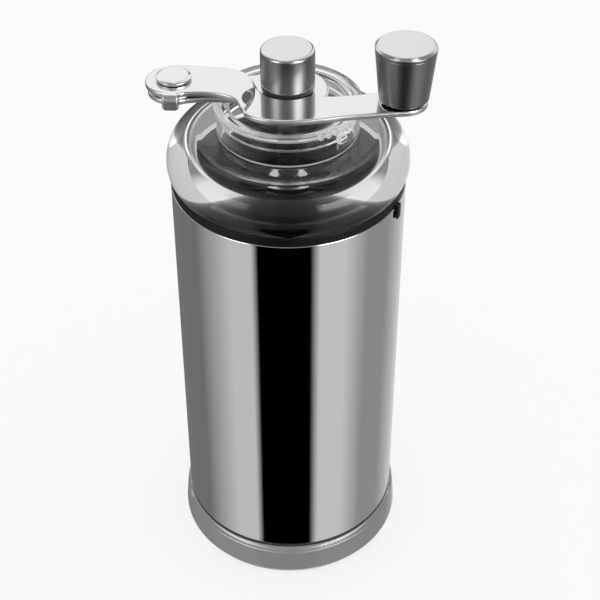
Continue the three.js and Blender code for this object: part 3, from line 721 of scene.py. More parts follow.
def combine(
    target: bpy.types.Object, others: Iterable[bpy.types.Object], operation: str
) -> bpy.types.Object:
    """Joins or cuts solids, applies the result and deletes the others.

    Args:
        target: the piece that is kept.
        others: the solids to join to it or cut from it.
        operation: UNION or DIFFERENCE.

    Returns:
        The target.
    """
    for other in others:
        step = target.modifiers.new("combine", "BOOLEAN")
        step.operation = operation
        step.solver = "EXACT"
        step.object = other
        with bpy.context.temp_override(object=target, active_object=target):
            while target.modifiers[0] != step:
                bpy.ops.object.modifier_move_up(modifier=step.name)
            bpy.ops.object.modifier_apply(modifier=step.name)
        bpy.data.objects.remove(other)
    target.data.set_sharp_from_angle(angle=math.radians(SHARP))
    return target


class Outline:
    """A flat outline drawn counter-clockwise from lines, arcs and curves."""

    def __init__(self, start: Point, step: float = 0.4) -> None:
        """Starts the outline.

        Args:
            start: the first point.
            step: the longest chord on a curve.
        """
        self.points: list[Vector] = [Vector(start)]
        self.step = step

    def line(self, end: Point) -> "Outline":
        """Draws a straight run."""
        start, target = self.points[-1], Vector(end)
        count = max(1, round((target - start).length / self.step))
        self.points += [start.lerp(target, i / count) for i in range(1, count + 1)]
        return self

    def arc(self, centre: Point, radius: float, start: float, end: float) -> "Outline":
        """Draws an arc between two angles in degrees, clockwise if end is less than start."""
        count = max(6, round(abs(math.radians(end - start)) * radius / self.step))
        drawn = [Vector(p) for p in arc(centre, radius, start, end, count)]
        if (drawn[0] - self.points[-1]).length > 1e-4:
            self.line(tuple(drawn[0]))
        self.points += drawn[1:]
        return self

    def curve(self, *controls: Point) -> "Outline":
        """Draws a quadratic or cubic curve.

        Args:
            *controls: one or two control points, then the end.

        Returns:
            The outline.
        """
        hull = [self.points[-1], *(Vector(c) for c in controls)]
        length = sum((b - a).length for a, b in zip(hull, hull[1:]))
        count = max(4, round(length / self.step))
        for i in range(1, count + 1):
            level = hull
            while len(level) > 1:
                level = [a.lerp(b, i / count) for a, b in zip(level, level[1:])]
            self.points.append(level[0])
        return self

    def close(self) -> list[Vector]:
        """Ends the outline, without repeating its first point."""
        if (self.points[-1] - self.points[0]).length < 1e-3:
            self.points.pop()
        return self.points


def inset(loop: list[Vector], distance: float) -> list[Vector]:
    """Moves a loop towards its left side, which is the inside of a counter-clockwise one.

    Args:
        loop: the closed loop's points.
        distance: how far it moves.

    Returns:
        The moved loop, with as many points.
    """
    moved = []
    for i, here in enumerate(loop):
        before = (here - loop[i - 1]).normalized()
        after = (loop[(i + 1) % len(loop)] - here).normalized()
        side = Vector((-(before + after).y, (before + after).x)).normalized()
        moved.append(here + side * distance / max(0.5, side.dot(Vector((-after.y, after.x)))))
    return moved


def encloses(loop: list[Vector], point: Vector) -> bool:
    """Says whether a closed loop goes round a point."""
    inside = False
    for a, b in zip(loop, loop[1:] + loop[:1]):
        if (a.y > point.y) != (b.y > point.y):
            if point.x < a.x + (point.y - a.y) / (b.y - a.y) * (b.x - a.x):
                inside = not inside
    return inside


def cap_flat(
    made: bmesh.types.BMesh,
    borders: list[list[Vector]],
    rings: list[list[bmesh.types.BMVert]],
    level: float,
    extra: list[Vector],
    flip: bool,
) -> None:
    """Fills the flat inside a plate's borders, with further points where they are wanted.

    A further point that would make too thin a face beside a border is left out.

    Args:
        made: the mesh that gets the faces.
        borders: the flat's outline and its holes.
        rings: the vertices on them.
        level: the flat's height.
        extra: the further points.
        flip: whether the faces look down.
    """
    def on_flat(point: Vector) -> bool:
        """Says whether a point is on the cap and in none of its holes."""
        return encloses(borders[0], point) and not any(encloses(hole, point) for hole in borders[1:])

    thinnest = 0.12
    flat = [point for border in borders for point in border]
    edges: list[tuple[int, int]] = []
    for border in borders:
        base = len(edges)
        edges += [(base + i, base + (i + 1) % len(border)) for i in range(len(border))]
    inner = [p for p in extra if on_flat(p) and min((p - q).length for q in flat) > thinnest]
    spots, _, faces, sources, _, _ = delaunay_2d_cdt(flat + inner, edges, [], 0, 1e-5)
    known = [vert for ring in rings for vert in ring]
    verts = []
    for spot, origins in zip(spots, sources):
        given = [source for source in origins if source < len(known)]
        verts.append(known[given[0]] if given else made.verts.new((spot.x, spot.y, level)))
    for face in faces:
        if on_flat(sum((spots[i] for i in face), Vector((0, 0))) / 3):
            corners = [verts[i] for i in (reversed(face) if flip else face)]
            if len(set(corners)) == 3:
                made.faces.new(corners)


def sheet(
    name: str,
    loops: list[list[Vector]],
    low: float,
    high: float,
    rims: Pair,
    form: Form | None = None,
    extra: Iterable[Vector] = (),
) -> bpy.types.Object:
    """Makes a pressed plate with rounded rims.

    Args:
        name: the object's name.
        loops: the outline, counter-clockwise, then the holes, clockwise.
        low: the underside's height.
        high: the top's height.
        rims: the radius of the lower and of the upper rims.
        form: moves each point from the flat plate to its pressed place.
        extra: further points on the flats, where the form needs them.

    Returns:
        The plate.
    """
    made = bmesh.new()
    steps = 6
    layers: list[Pair] = []
    for rim, level, side in ((rims[0], low, 1), (rims[1], high, -1)):
        turn = [math.pi / 2 * step / steps for step in range(steps + 1)]
        curve = [(rim * (1 - math.sin(a)), level + side * rim * (1 - math.cos(a))) for a in turn]
        layers += curve if side > 0 else reversed(curve)
    rings: list[list[list[bmesh.types.BMVert]]] = []
    for loop in loops:
        rings.append([[made.verts.new((p.x, p.y, z)) for p in inset(loop, depth)] for depth, z in layers])
        for a, b in zip(rings[-1], rings[-1][1:]):
            for i in range(len(loop)):
                j = (i + 1) % len(loop)
                made.faces.new((a[i], a[j], b[j], b[i]))
    for place, rim, level in ((0, rims[0], low), (-1, rims[1], high)):
        borders = [inset(loop, rim) for loop in loops]
        cap_flat(made, borders, [ring[place] for ring in rings], level, list(extra), place == 0)
    if form:
        for vert in made.verts:
            vert.co = form(vert.co)
    for vert in [v for v in made.verts if not v.link_faces]:
        made.verts.remove(vert)
    return even_shading(mesh_object(name, made))


def hole(centre: Point, radius: float) -> list[Vector]:
    """Draws a round hole, clockwise."""
    return [Vector(p) for p in arc(centre, radius, 360, 0, SMALL)][:-1]


def tube(bore: float, radius: float, low: float, high: float, inner: float, outer: float) -> list[Triple]:
    """Draws the profile of a plain ring.

    Args:
        bore: its inner radius.
        radius: its outer radius.
        low: its underside's height.
        high: its top's height.
        inner: the radius of its edges at the bore.
        outer: the radius of its edges outside.

    Returns:
        The corners, each with its fillet radius.
    """
    return [(bore, low, inner), (radius, low, outer), (radius, high, outer), (bore, high, inner)]


@dataclass
class SubAssembly:
    """A group of pieces that are made together, with the sizes that more than one group needs.

    Attributes:
        sleeve_top: height of the sleeve's upper edge, where the collar's flange starts.
        neck_top: height of the hopper's neck, which the lid stands on.
        seat_gap: the gap between clear faces that would touch.
        seat: height of the spindle's shoulder, which the crank stands on.
        crank_flats: width across the flats of the spindle's upper hexagon.
    """

    sleeve_top: float = 141.8
    neck_top: float = 168.1
    seat_gap: float = 0.04
    seat: float = 170.2
    crank_flats: float = 4.8

    def place(
        self,
        piece: bpy.types.Object,
        body: Body,
        nodes: Iterable[str],
        slot: Slot,
        finish: Finish | None = None,
    ) -> None:
        """Dresses a piece and hands it to the frame in the place of CAD nodes.

        Args:
            piece: the finished piece.
            body: the body that it rides on.
            nodes: the CAD nodes that it stands for, if any.
            slot: the slot whose finish it takes.
            finish: a finish of its own within that slot.
        """
        piece.data.materials.clear()
        piece.data.materials.append((finish or FINISHES[slot]).material())
        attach(piece, body.value)
        if nodes:
            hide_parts(*nodes)
        log.info("%s: %d faces on %s", piece.name, len(piece.data.polygons), body.value)


@dataclass
class Receiver(SubAssembly):
    """The clear jar and the polished sleeve round it.

    Attributes:
        seal: how high the thin black ring lifts the sleeve off the jar's ledge.
        base_height: height at which the jar's foot is widest.
        shoulder: height at which the foot's slant starts.
        slant_run: how far the slant comes in.
        slant_drop: how far below the ledge it ends.
        ledge_width: how far the ledge stands out past the sleeve.
    """

    sleeve_radius: float = 36.0
    sleeve_wall: float = 0.8
    sleeve_bottom: float = 13.5
    seal: float = 1.3
    seal_radius: float = 35.95
    seal_inside: float = 0.05
    seal_lift: float = 0.03
    underside_radius: float = 36.2
    base_radius: float = 37.79
    base_height: float = 2.4
    base_round: float = 1.6
    shoulder: float = 7.4
    shoulder_radius: float = 37.4
    slant_run: float = 0.4
    slant_drop: float = 1.3
    ledge_width: float = 0.2
    jar_radius: float = 34.9
    jar_bore: float = 32.3
    jar_top: float = 140.3
    floor: float = 6.0
    floor_round: float = 1.8

    def sleeve(self) -> bpy.types.Object:
        """Makes the steel tube with its edges rolled smooth."""
        inner = self.sleeve_radius - self.sleeve_wall
        profile = tube(inner, self.sleeve_radius, self.sleeve_bottom, self.sleeve_top, Edge.SOFT, Edge.SOFT)
        return turned("sleeve_polished", profile, MIRROR)

    def jar(self) -> bpy.types.Object:
        """Makes the jar: a thick base with a slanting shoulder, and a plain tube."""
        ledge = self.sleeve_bottom - self.seal
        return turned("jar_clear", [
            (0, 0),
            (self.underside_radius, 0, Edge.ROUND),
            (self.base_radius, self.base_height, self.base_round),
            (self.shoulder_radius, self.shoulder, Edge.KEEN),
            (self.shoulder_radius - self.slant_run, ledge - self.slant_drop, Edge.BROAD),
            (self.sleeve_radius + self.ledge_width, ledge, Edge.SLIGHT),
            (self.jar_radius, ledge, Edge.SLIGHT),
            (self.jar_radius, self.jar_top, Edge.SOFT),
            (self.jar_bore, self.jar_top, Edge.ROUND),
            (self.jar_bore, self.floor, self.floor_round),
            (0, self.floor),
        ])

    def seal_ring(self) -> bpy.types.Object:
        """Makes the thin black ring that the sleeve stands on, which darkens the line under the sleeve."""
        low = self.sleeve_bottom - self.seal + self.seal_lift
        inner = self.jar_radius + self.seal_inside
        return turned("sleeve_dark_ring", [
            (inner, low, Edge.CRISP),
            (self.seal_radius, low, Edge.SLIGHT),
            (self.seal_radius, self.sleeve_bottom, Edge.CRISP),
            (inner, self.sleeve_bottom, Edge.CRISP),
        ])

    def build(self) -> None:
        """Makes and places the pieces."""
        self.place(self.sleeve(), Body.JAR, ["steel_sleeve"], Slot.SLEEVE)
        self.place(self.jar(), Body.JAR, ["jar"], Slot.ACRYLIC, ThickAcrylic())
        self.place(self.seal_ring(), Body.JAR, [], Slot.RUBBER)


@dataclass
class Head(SubAssembly):
    """Collar, clear hopper, funnel and bushing.

    Attributes:
        dome_centre: centre of the dome's curve, as radius and height.
        chamber_roof: height of the roof over the beans.
        arm_root: how far each arm of the spider reaches into the hub.
        arm_tip: how far it reaches into the funnel's throat.
    """

    collar_radius: float = 35.9
    collar_bottom: float = 126.5
    collar_top: float = 144.8
    collar_bore: float = 28.4
    skirt_radius: float = 32.0
    thread_turns: int = 3
    thread_pitch: float = 3.2
    thread_start: float = 3.0
    thread_depth: float = 0.5
    thread_crest: float = 0.6
    tab_azimuth: float = -26.0
    tab_size: Triple = (0.8, 2.2, 4.6)
    tab_centre: Triple = (36.5, 0.0, 140.1)
    tab_root_size: Triple = (1.6, 2.2, 0.7)
    tab_root_centre: Triple = (36.0, 0.0, 142.2)
    dome_centre: Point = (26.44, 149.7)
    dome_radius: float = 10.5
    dome_chords: int = 40
    hopper_bore: float = 30.0
    chamber_roof: float = 156.5
    chamber_corner: float = 2.8
    chamber_chords: int = 12
    neck_radius: float = 21.4
    neck_bore: float = 20.2
    neck_fillet: float = 0.05
    neck_fillet_chords: int = 8
    neck_chamfer: float = 0.4
    lug_azimuth: float = -45.0
    lug_size: Triple = (2.2, 3.4, 3.0)
    lug_centre: Triple = (21.9, 0.0, 165.9)
    lug_round: float = 0.45
    funnel_rim: float = 29.24
    funnel_cone: float = 27.24
    rim_top: float = 146.3
    throat_radius: float = 15.0
    throat_top: float = 139.4
    flange_radius: float = 27.6
    flange_bottom: float = 136.0
    flange_top: float = 138.2
    cone_foot: float = 16.95
    hub_radius: float = 7.65
    hub_gap: float = 0.3
    hub_bottom: float = 134.5
    hub_top: float = 139.0
    bushing_radius: float = 4.75
    bushing_flange: float = 6.3
    bushing_top: float = 139.7
    shaft_bore: float = 3.45
    arm_count: int = 3
    arm_width: float = 3.4
    arm_height: float = 2.8
    arm_root: float = 0.8
    arm_tip: float = 0.9

    def collar(self) -> bpy.types.Object:
        """Makes the screw collar with its index tab and a rounded screw thread."""
        root = self.skirt_radius - self.thread_depth
        ridges = []
        for turn in range(self.thread_turns):
            low = self.collar_bottom + self.thread_start + turn * self.thread_pitch
            crest = low + self.thread_depth
            ridges += [
                (root, low, Edge.KEEN),
                (self.skirt_radius, crest, Edge.KEEN),
                (self.skirt_radius, crest + self.thread_crest, Edge.KEEN),
                (root, crest + self.thread_crest + self.thread_depth, Edge.KEEN),
            ]
        ring = turned("collar_black", [
            (self.collar_bore, self.collar_bottom, Edge.SOFT),
            (root, self.collar_bottom, Edge.BLUNT),
            *ridges,
            (root, self.sleeve_top, Edge.KEEN),
            (self.collar_radius, self.sleeve_top, Edge.MILD),
            (self.collar_radius, self.collar_top, Edge.BLUNT),
            (self.collar_bore, self.collar_top, Edge.SOFT),
        ], steps=3)
        tab = block("index_tab", self.tab_size, self.tab_centre, Edge.MILD, self.tab_azimuth)
        base = block("index_root", self.tab_root_size, self.tab_root_centre, Edge.CRISP, self.tab_azimuth)
        return combine(ring, [tab, base], "UNION")

    def hopper(self) -> bpy.types.Object:
        """Makes the clear dome with its neck and its two bayonet lugs."""
        centre_z = self.dome_centre[1]
        foot = self.collar_top + self.seat_gap
        start = -math.degrees(math.asin((centre_z - foot) / self.dome_radius))
        outside = arc(self.dome_centre, self.dome_radius, start, 90, self.dome_chords)
        fillet_centre = (self.neck_radius + self.neck_fillet, centre_z + self.dome_radius + self.neck_fillet)
        outside += arc(fillet_centre, self.neck_fillet, 270, 180, self.neck_fillet_chords)
        inside = filleted([
            (self.neck_radius, self.neck_top),
            (self.neck_bore, self.neck_top, Edge.SOFT),
            (self.neck_bore, self.chamber_roof, Edge.FULL),
            (self.hopper_bore, self.chamber_roof, self.chamber_corner),
            (self.hopper_bore, foot),
        ], self.chamber_chords, closed=False)[1:-1]
        neck_edge = (self.neck_radius, self.neck_top - self.neck_chamfer)
        dome = turned("hopper_clear", [(self.hopper_bore, foot), *outside, neck_edge, *inside])
        lugs = [
            block("lug", self.lug_size, self.lug_centre, self.lug_round, self.lug_azimuth + turn)
            for turn in (0, 180)
        ]
        return combine(dome, lugs, "UNION")

    def funnel(self) -> bpy.types.Object:
        """Makes the sloping floor with the spider that carries the bushing."""
        slope = (self.rim_top - self.throat_top) / (self.funnel_cone - self.throat_radius)
        back = self.flange_top + (self.flange_radius - self.cone_foot) * slope
        cone = turned("funnel_black", [
            (self.funnel_rim, self.collar_top, Edge.SLIGHT),
            (self.funnel_rim, self.rim_top, Edge.BLUNT),
            (self.funnel_cone, self.rim_top, Edge.ROUND),
            (self.throat_radius, self.throat_top, Edge.FULL),
            (self.throat_radius, self.flange_bottom, Edge.SLIGHT),
            (self.flange_radius, self.flange_bottom, Edge.SLIGHT),
            (self.flange_radius, self.flange_top, Edge.SLIGHT),
            (self.cone_foot, self.flange_top),
            (self.flange_radius, back),
            (self.flange_radius, self.collar_top),
        ])
        bore = self.bushing_radius + self.hub_gap
        hub = turned("hub", [
            (bore, self.hub_bottom, Edge.SLIGHT),
            (self.hub_radius, self.hub_bottom, Edge.SOFT),
            (self.hub_radius, self.hub_top, Edge.BLUNT),
            (bore, self.hub_top, Edge.SLIGHT),
        ], MEDIUM)
        start, end = self.hub_radius - self.arm_root, self.throat_radius + self.arm_tip
        size = (end - start, self.arm_width, self.arm_height)
        middle = ((start + end) / 2, 0, self.hub_top - self.arm_height / 2)
        arms = [
            block("arm", size, middle, Edge.BLUNT, 90 + 360 / self.arm_count * i)
            for i in range(self.arm_count)
        ]
        return combine(cone, [hub, *arms], "UNION")

    def bushing(self) -> bpy.types.Object:
        """Makes the flanged bearing."""
        return turned("bushing_bright", [
            (self.shaft_bore, self.hub_bottom),
            (self.bushing_radius, self.hub_bottom),
            (self.bushing_radius, self.hub_top),
            (self.bushing_flange, self.hub_top),
            (self.bushing_flange, self.bushing_top, Edge.SOFT),
            (self.shaft_bore, self.bushing_top, Edge.KEEN),
        ], MEDIUM)

    def build(self) -> None:
        """Makes and places the pieces."""
        self.place(self.collar(), Body.HEAD, ["collar"], Slot.PLASTIC)
        self.place(self.hopper(), Body.HEAD, ["hopper"], Slot.ACRYLIC)
        self.place(self.funnel(), Body.HEAD, ["funnel"], Slot.PLASTIC)
        self.place(self.bushing(), Body.HEAD, ["bushing"], Slot.PLAIN)


@dataclass
class Lid(SubAssembly):
    """The clear dished lid with its grip ribs.

    Attributes:
        ridge_rise: how far the ridge round the dish stands above the rim.
        plate: thickness of the dish.
        rib_size: half the width of a rib.
        rib_rise: how far the ribs stand above the rim.
    """

    rim_radius: float = 22.2
    rim_top: float = 169.5
    ridge_radius: float = 20.8
    ridge_width: float = 1.7
    ridge_rise: float = 0.3
    dish_radius: float = 18.3
    dish_top: float = 169.1
    plate: float = 2.2
    skirt_radius: float = 19.9
    skirt_wall: float = 1.9
    skirt_bottom: float = 164.0
    hole: float = 3.8
    rib_count: int = 6
    rib_pitch: float = 6.4
    rib_azimuth: float = -49.0
    rib_size: float = 0.7
    rib_rise: float = 0.2

    def lid(self) -> bpy.types.Object:
        """Makes the lid."""
        inner = self.skirt_radius - self.skirt_wall
        underside = self.dish_top - self.plate
        stand = self.neck_top + self.seat_gap
        ridge_top = self.rim_top + self.ridge_rise
        disc = turned("lid_clear", [
            (self.hole, underside, Edge.SOFT),
            (inner, underside, Edge.WIDE),
            (inner, self.skirt_bottom, Edge.KEEN),
            (self.skirt_radius, self.skirt_bottom, Edge.KEEN),
            (self.skirt_radius, stand, Edge.SLIGHT),
            (self.rim_radius, stand, Edge.MILD),
            (self.rim_radius, self.rim_top, Edge.BLUNT),
            (self.ridge_radius, ridge_top, Edge.ROUND),
            (self.ridge_radius - self.ridge_width, ridge_top, Edge.ROUND),
            (self.dish_radius, self.dish_top, Edge.BROAD),
            (self.hole, self.dish_top, Edge.SOFT),
        ])
        ribs = []
        size = (2 * self.rib_size, 2 * self.rib_size, self.rim_top - self.neck_top + self.rib_rise)
        middle = (self.rim_radius, 0, (self.rim_top + self.neck_top + self.rib_rise) / 2)
        for i in range(self.rib_count):
            azimuth = self.rib_azimuth + (i - (self.rib_count - 1) / 2) * self.rib_pitch
            ribs.append(block("rib", size, middle, Edge.SOFT, azimuth))
        return combine(disc, ribs, "UNION")

    def build(self) -> None:
        """Makes and places the lid."""
        self.place(self.lid(), Body.LID, ["lid"], Slot.ACRYLIC)


@dataclass
class Shaft(SubAssembly):
    """The spindle, with its hexagons and its screw thread.

    Attributes:
        burr_flats: width across the flats of the lower hexagon, which the burr sits on.
        hex_foot: height of that hexagon's foot.
        round_bottom: height at which the round shaft starts.
        overlap: how far each hexagon reaches into the round shaft.
    """

    radius: float = 3.3
    burr_flats: float = 5.6
    chamfer: float = 0.3
    bottom: float = 94.8
    thread_radius: float = 2.5
    thread_pitch: float = 0.8
    thread_depth: float = 0.35
    thread_chamfer: float = 0.5
    thread_start: float = 0.6
    thread_top: float = 111.8
    clip_bottom: float = 97.8
    clip_height: float = 1.3
    groove_radius: float = 1.9
    hex_foot: float = 111.3
    round_bottom: float = 133.7
    top: float = 182.0
    overlap: float = 0.5

    def hexagon(self, name: str, flats: float, low: float, high: float) -> bpy.types.Object:
        """Makes a six-sided bar with chamfered ends.

        Args:
            name: the object's name.
            flats: its width across the flats.
            low: its lower end.
            high: its upper end.

        Returns:
            The bar.
        """
        radius = flats / 2 / math.cos(math.pi / 6)
        bar = turned(name, [
            (0, low),
            (radius - self.chamfer, low),
            (radius, low + self.chamfer),
            (radius, high - self.chamfer),
            (radius - self.chamfer, high),
            (0, high),
        ], 6)
        bar.data.polygons.foreach_set("use_smooth", [False] * len(bar.data.polygons))
        return bar

    def thread(self) -> list[Point]:
        """Works out the thread's profile, as rings at its pitch."""
        root = self.thread_radius - self.thread_depth
        groove_top = self.clip_bottom + self.clip_height
        points = [
            (0.0, self.bottom),
            (self.thread_radius - self.thread_chamfer, self.bottom),
            (self.thread_radius, self.bottom + self.thread_chamfer),
        ]
        height = self.bottom + self.thread_start
        while height < self.thread_top - self.thread_pitch:
            if not self.clip_bottom - self.thread_pitch < height < groove_top:
                points += [(self.thread_radius, height), (root, height + self.thread_pitch / 2)]
                height += self.thread_pitch
                continue
            points += [
                (self.thread_radius, self.clip_bottom),
                (self.groove_radius, self.clip_bottom),
                (self.groove_radius, groove_top),
                (self.thread_radius, groove_top),
            ]
            height = groove_top
        return points + [(self.thread_radius, self.thread_top), (0.0, self.thread_top)]

    def shaft(self) -> bpy.types.Object:
        """Makes the whole spindle."""
        rod = turned("spindle_turned", [
            (0, self.round_bottom),
            (self.radius, self.round_bottom, Edge.SOFT),
            (self.radius, self.seat, Edge.SOFT),
            (0, self.seat),
        ], MEDIUM)
        thread = turned("thread", self.thread(), SMALL)
        burr_hex = self.hexagon("burr_hex", self.burr_flats, self.hex_foot, self.round_bottom + self.overlap)
        crank_hex = self.hexagon("crank_hex", self.crank_flats, self.seat - self.overlap, self.top)
        return combine(rod, [thread, burr_hex, crank_hex], "UNION")

    def build(self) -> None:
        """Makes and places the spindle."""
        self.place(self.shaft(), Body.SPINDLE, ["spindle"], Slot.PLAIN)


@dataclass
class CrankFrame(SubAssembly):
    """Pieces drawn with the crank along the x axis, then turned to where the crank is stored.

    Attributes:
        turn: the stored crank's azimuth in degrees.
        sheet: thickness of both links.
        outer_bottom: height of the upper link's underside at the pivot.
        joggle: how much lower its arm lies.
        knob: where the knob stands.
        knob_bore: radius of the holes for the knob's pin.
    """

    turn: float = -2.06
    sheet: float = 1.6
    outer_bottom: float = 174.2
    joggle: float = 0.9
    knob: Point = (33.6, -8.3)
    knob_bore: float = 2.55

    def place_turned(self, piece: bpy.types.Object, body: Body, node: str, slot: Slot) -> None:
        """Turns a piece to where the crank is stored and hands it over.

        Args:
            piece: the finished piece, in the crank's own frame.
            body: the body that it rides on.
            node: the CAD node that it stands for.
            slot: the slot whose finish it takes.
        """
        piece.data.transform(Matrix.Rotation(math.radians(self.turn), 4, "Z"))
        self.place(piece, body, [node], slot)


@dataclass
class Crank(CrankFrame):
    """The folded crank: two pressed links, their pivot and the cap.

    Attributes:
        rims: radii of a link's lower and upper edges.
        cut_past: how far a cutter reaches past the piece that it cuts.
        pivot: how far the pivot is from the spindle.
        eye_start: angle in degrees at which the eye's round starts.
        end_start: angle at which the round of the inner link's other end starts.
        waist: how far from its middle line its curved sides are pulled in.
        waist_place: where along the link that is, as a share of the way to the pivot.
        notch: radius of the outer link's notch round the cap.
        step_centre: centre of the pressed step's outer crease.
        step_rows: how far inside it each row of the sheet's extra points lies.
        crease_centre: centre of its inner crease.
        crease_rows: the same for that one.
        step_lip: width over which the outer crease rises.
        lip_share: share of the step that is left past the inner crease.
        bend_line: where the stop tab's bend starts.
    """

    rims: Pair = (0.25, 0.65)
    cut_past: float = 1.0
    hub_washer: float = 7.6
    link_bottom: float = 171.5
    cap_washer: float = 7.4
    cap_bottom: float = 174.0
    cap_radius: float = 8.0
    cap_top: float = 186.5
    cap_rim: float = 1.1
    cap_draft: float = 0.05
    cap_seam: float = 1.6
    seam_depth: float = 0.25
    seam_middle: float = 0.12
    seam_width: float = 0.25
    cap_bore_top: float = 183.1
    hex_gap: float = 0.25
    pivot: float = 33.4
    eye_radius: float = 12.2
    end_radius: float = 7.8
    eye_start: float = 222.0
    end_start: float = 62.0
    waist: float = 4.4
    waist_place: float = 0.6
    pivot_washer: float = 6.4
    pivot_bore: float = 2.65
    outer_radius: float = 8.37
    arm_start: float = -64.0
    notch: float = 9.2
    notch_start: float = -48.0
    notch_end: float = -162.0
    knob_seat: float = 7.0
    knob_start: float = -78.0
    knob_end: float = 118.0
    rivet_shank: float = 2.5
    rivet_gap: float = 0.2
    rivet_head: float = 5.3
    rivet_under: float = 0.3
    rivet_brim: float = 0.8
    rivet_crown: float = 0.9
    crown_drop: float = 0.22
    rivet_rise: float = 1.5
    rivet_foot: float = 4.8
    rivet_foot_height: float = 1.2
    step_centre: Point = (-31.03, -6.18)
    step_radius: float = 21.8
    step_arc: Pair = (-35.0, 25.0)
    step_chords: int = 76
    step_rows: tuple[float, ...] = (
        -0.15, 0.0, 0.08, 0.16, 0.24, 0.32, 0.4, 0.48, 0.7, 1.0, 1.4, 1.8, 2.3, 2.8, 3.3, 3.8)
    crease_centre: Point = (-7.0, -9.7)
    crease_radius: float = 6.0
    crease_arc: Pair = (95.0, 225.0)
    crease_chords: int = 36
    crease_rows: tuple[float, ...] = (-0.25, -0.08, 0.08, 0.25)
    step_lip: float = 0.45
    lip_share: float = 0.15
    tab_middle: float = -33.7
    tab_width: float = 4.8
    tab_reach: float = 4.9
    tab_corner: float = 1.1
    tab_row_gap: float = 0.3
    bend_line: float = -7.9
    bend_radius: float = 0.5

    def washer(self, name: str, radius: float, low: float, high: float) -> bpy.types.Object:
        """Makes a washer on the spindle's hexagon, between two heights."""
        profile = [(0, low), (radius, low, Edge.SLIGHT), (radius, high, Edge.SLIGHT), (0, high)]
        disc = turned(name, profile, MEDIUM)
        return self.keyed(disc, low - self.cut_past, high + self.cut_past)

    def keyed(self, piece: bpy.types.Object, low: float, high: float) -> bpy.types.Object:
        """Cuts the six-sided hole for the spindle between two heights."""
        radius = (self.crank_flats / 2 + self.hex_gap) / math.cos(math.pi / 6)
        cutter = turned("key", [(0, low), (radius, low), (radius, high), (0, high)], 6)
        cutter.modifiers.clear()
        return combine(piece, [cutter], "DIFFERENCE")

    def inner_link(self) -> bpy.types.Object:
        """Makes the lower link, with its eye on the spindle."""
        pivot = (-self.pivot, 0.0)
        waist_x, waist_y = -self.pivot * self.waist_place, self.waist
        eye_a = on_circle((0, 0), self.eye_radius, self.eye_start)
        end_a = on_circle(pivot, self.end_radius, self.end_start)
        outline = (
            Outline(end_a)
            .arc(pivot, self.end_radius, self.end_start, 360 - self.end_start)
            .curve((waist_x, -waist_y), eye_a)
            .arc((0, 0), self.eye_radius, self.eye_start, 720 - self.eye_start)
            .curve((waist_x, waist_y), end_a)
            .close()
        )
        low, high = self.link_bottom, self.link_bottom + self.sheet
        plate = sheet("inner_link_pressed", [outline, hole(pivot, self.pivot_bore)], low, high, self.rims)
        return self.keyed(plate, low - self.cut_past, high + self.cut_past)

    def outer_outline(self) -> list[Vector]:
        """Draws the upper link: its round end, stop tab, arm, knob seat and notch."""
        pivot, radius, corner = (-self.pivot, 0.0), self.outer_radius, self.tab_corner
        left = self.tab_middle - self.tab_width / 2
        right = self.tab_middle + self.tab_width / 2
        end = self.bend_line - self.tab_reach
        left_angle = math.degrees(math.acos((left + self.pivot) / radius))
        right_angle = math.degrees(math.acos((right + self.pivot) / radius))
        outline = Outline((-self.pivot, radius))
        outline.arc(pivot, radius, 90, 360 - left_angle)
        outline.line((left, end + corner))
        outline.arc((left + corner, end + corner), corner, 180, 270)
        outline.arc((right - corner, end + corner), corner, 270, 360)
        outline.line(on_circle(pivot, radius, -right_angle))
        outline.arc(pivot, radius, -right_angle, self.arm_start)
        outline.curve((-24.5, -6.6), (-14.6, -7.2), (-13.5, -13.2))
        outline.curve((-12.4, -17.9), (-7.6, -21.2), (0, -21))
        outline.curve((7, -20.9), (14, -18.2), (22, -17))
        outline.curve((27, -16.2), on_circle(self.knob, self.knob_seat, self.knob_start))
        outline.arc(self.knob, self.knob_seat, self.knob_start, self.knob_end)
        outline.curve((26.5, -4.6), (21, -5.9), (13, -6.9))
        outline.line(on_circle((0, 0), self.notch, self.notch_start))
        outline.arc((0, 0), self.notch, self.notch_start, self.notch_end)
        outline.curve((-9.6, 0.6), (-11.3, 4.8), (-16, 6.3))
        outline.curve((-21, 7.7), (-27, radius), (-self.pivot, radius))
        return outline.close()

    def lift(self, x: float, y: float) -> float:
        """Says how high the pressed step lifts a point of the upper link.

        Args:
            x: the point's place in the crank's own frame.
            y: the same, across.

        Returns:
            The lift, from 0 on the arm to the whole step at the pivot.
        """
        foot = self.step_radius - math.dist((x, y), self.step_centre)
        if foot <= 0:
            return 0.0
        past = max(0.0, self.crease_radius - math.dist((x, y), self.crease_centre))
        fallen = (1 - self.lip_share) * past / (past + foot)
        lip = max(0.0, 1 - foot / self.step_lip)
        return self.joggle * (1 - fallen) * (1 - lip * lip * (3 - 2 * lip))

    def form(self, point: Vector) -> Vector:
        """Presses the step into the flat link and bends its tab down.

        Args:
            point: a point of the flat link.

        Returns:
            Its place on the pressed link.
        """
        x, y, z = point
        z += self.lift(x, y) - self.joggle
        top = self.outer_bottom + self.sheet
        depth = self.bend_line - y
        slack = 0.01
        if depth > 0 and abs(x - self.tab_middle) < self.tab_width / 2 + slack:
            middle = self.bend_radius + self.sheet / 2
            angle = min(depth / middle, math.pi / 2)
            radius = self.bend_radius + self.sheet - (top - z)
            centre_z = top - self.sheet - self.bend_radius
            straight = max(0.0, depth - middle * math.pi / 2)
            y = self.bend_line - radius * math.sin(angle)
            z = centre_z + radius * math.cos(angle) - straight
        return Vector((x, y, z))

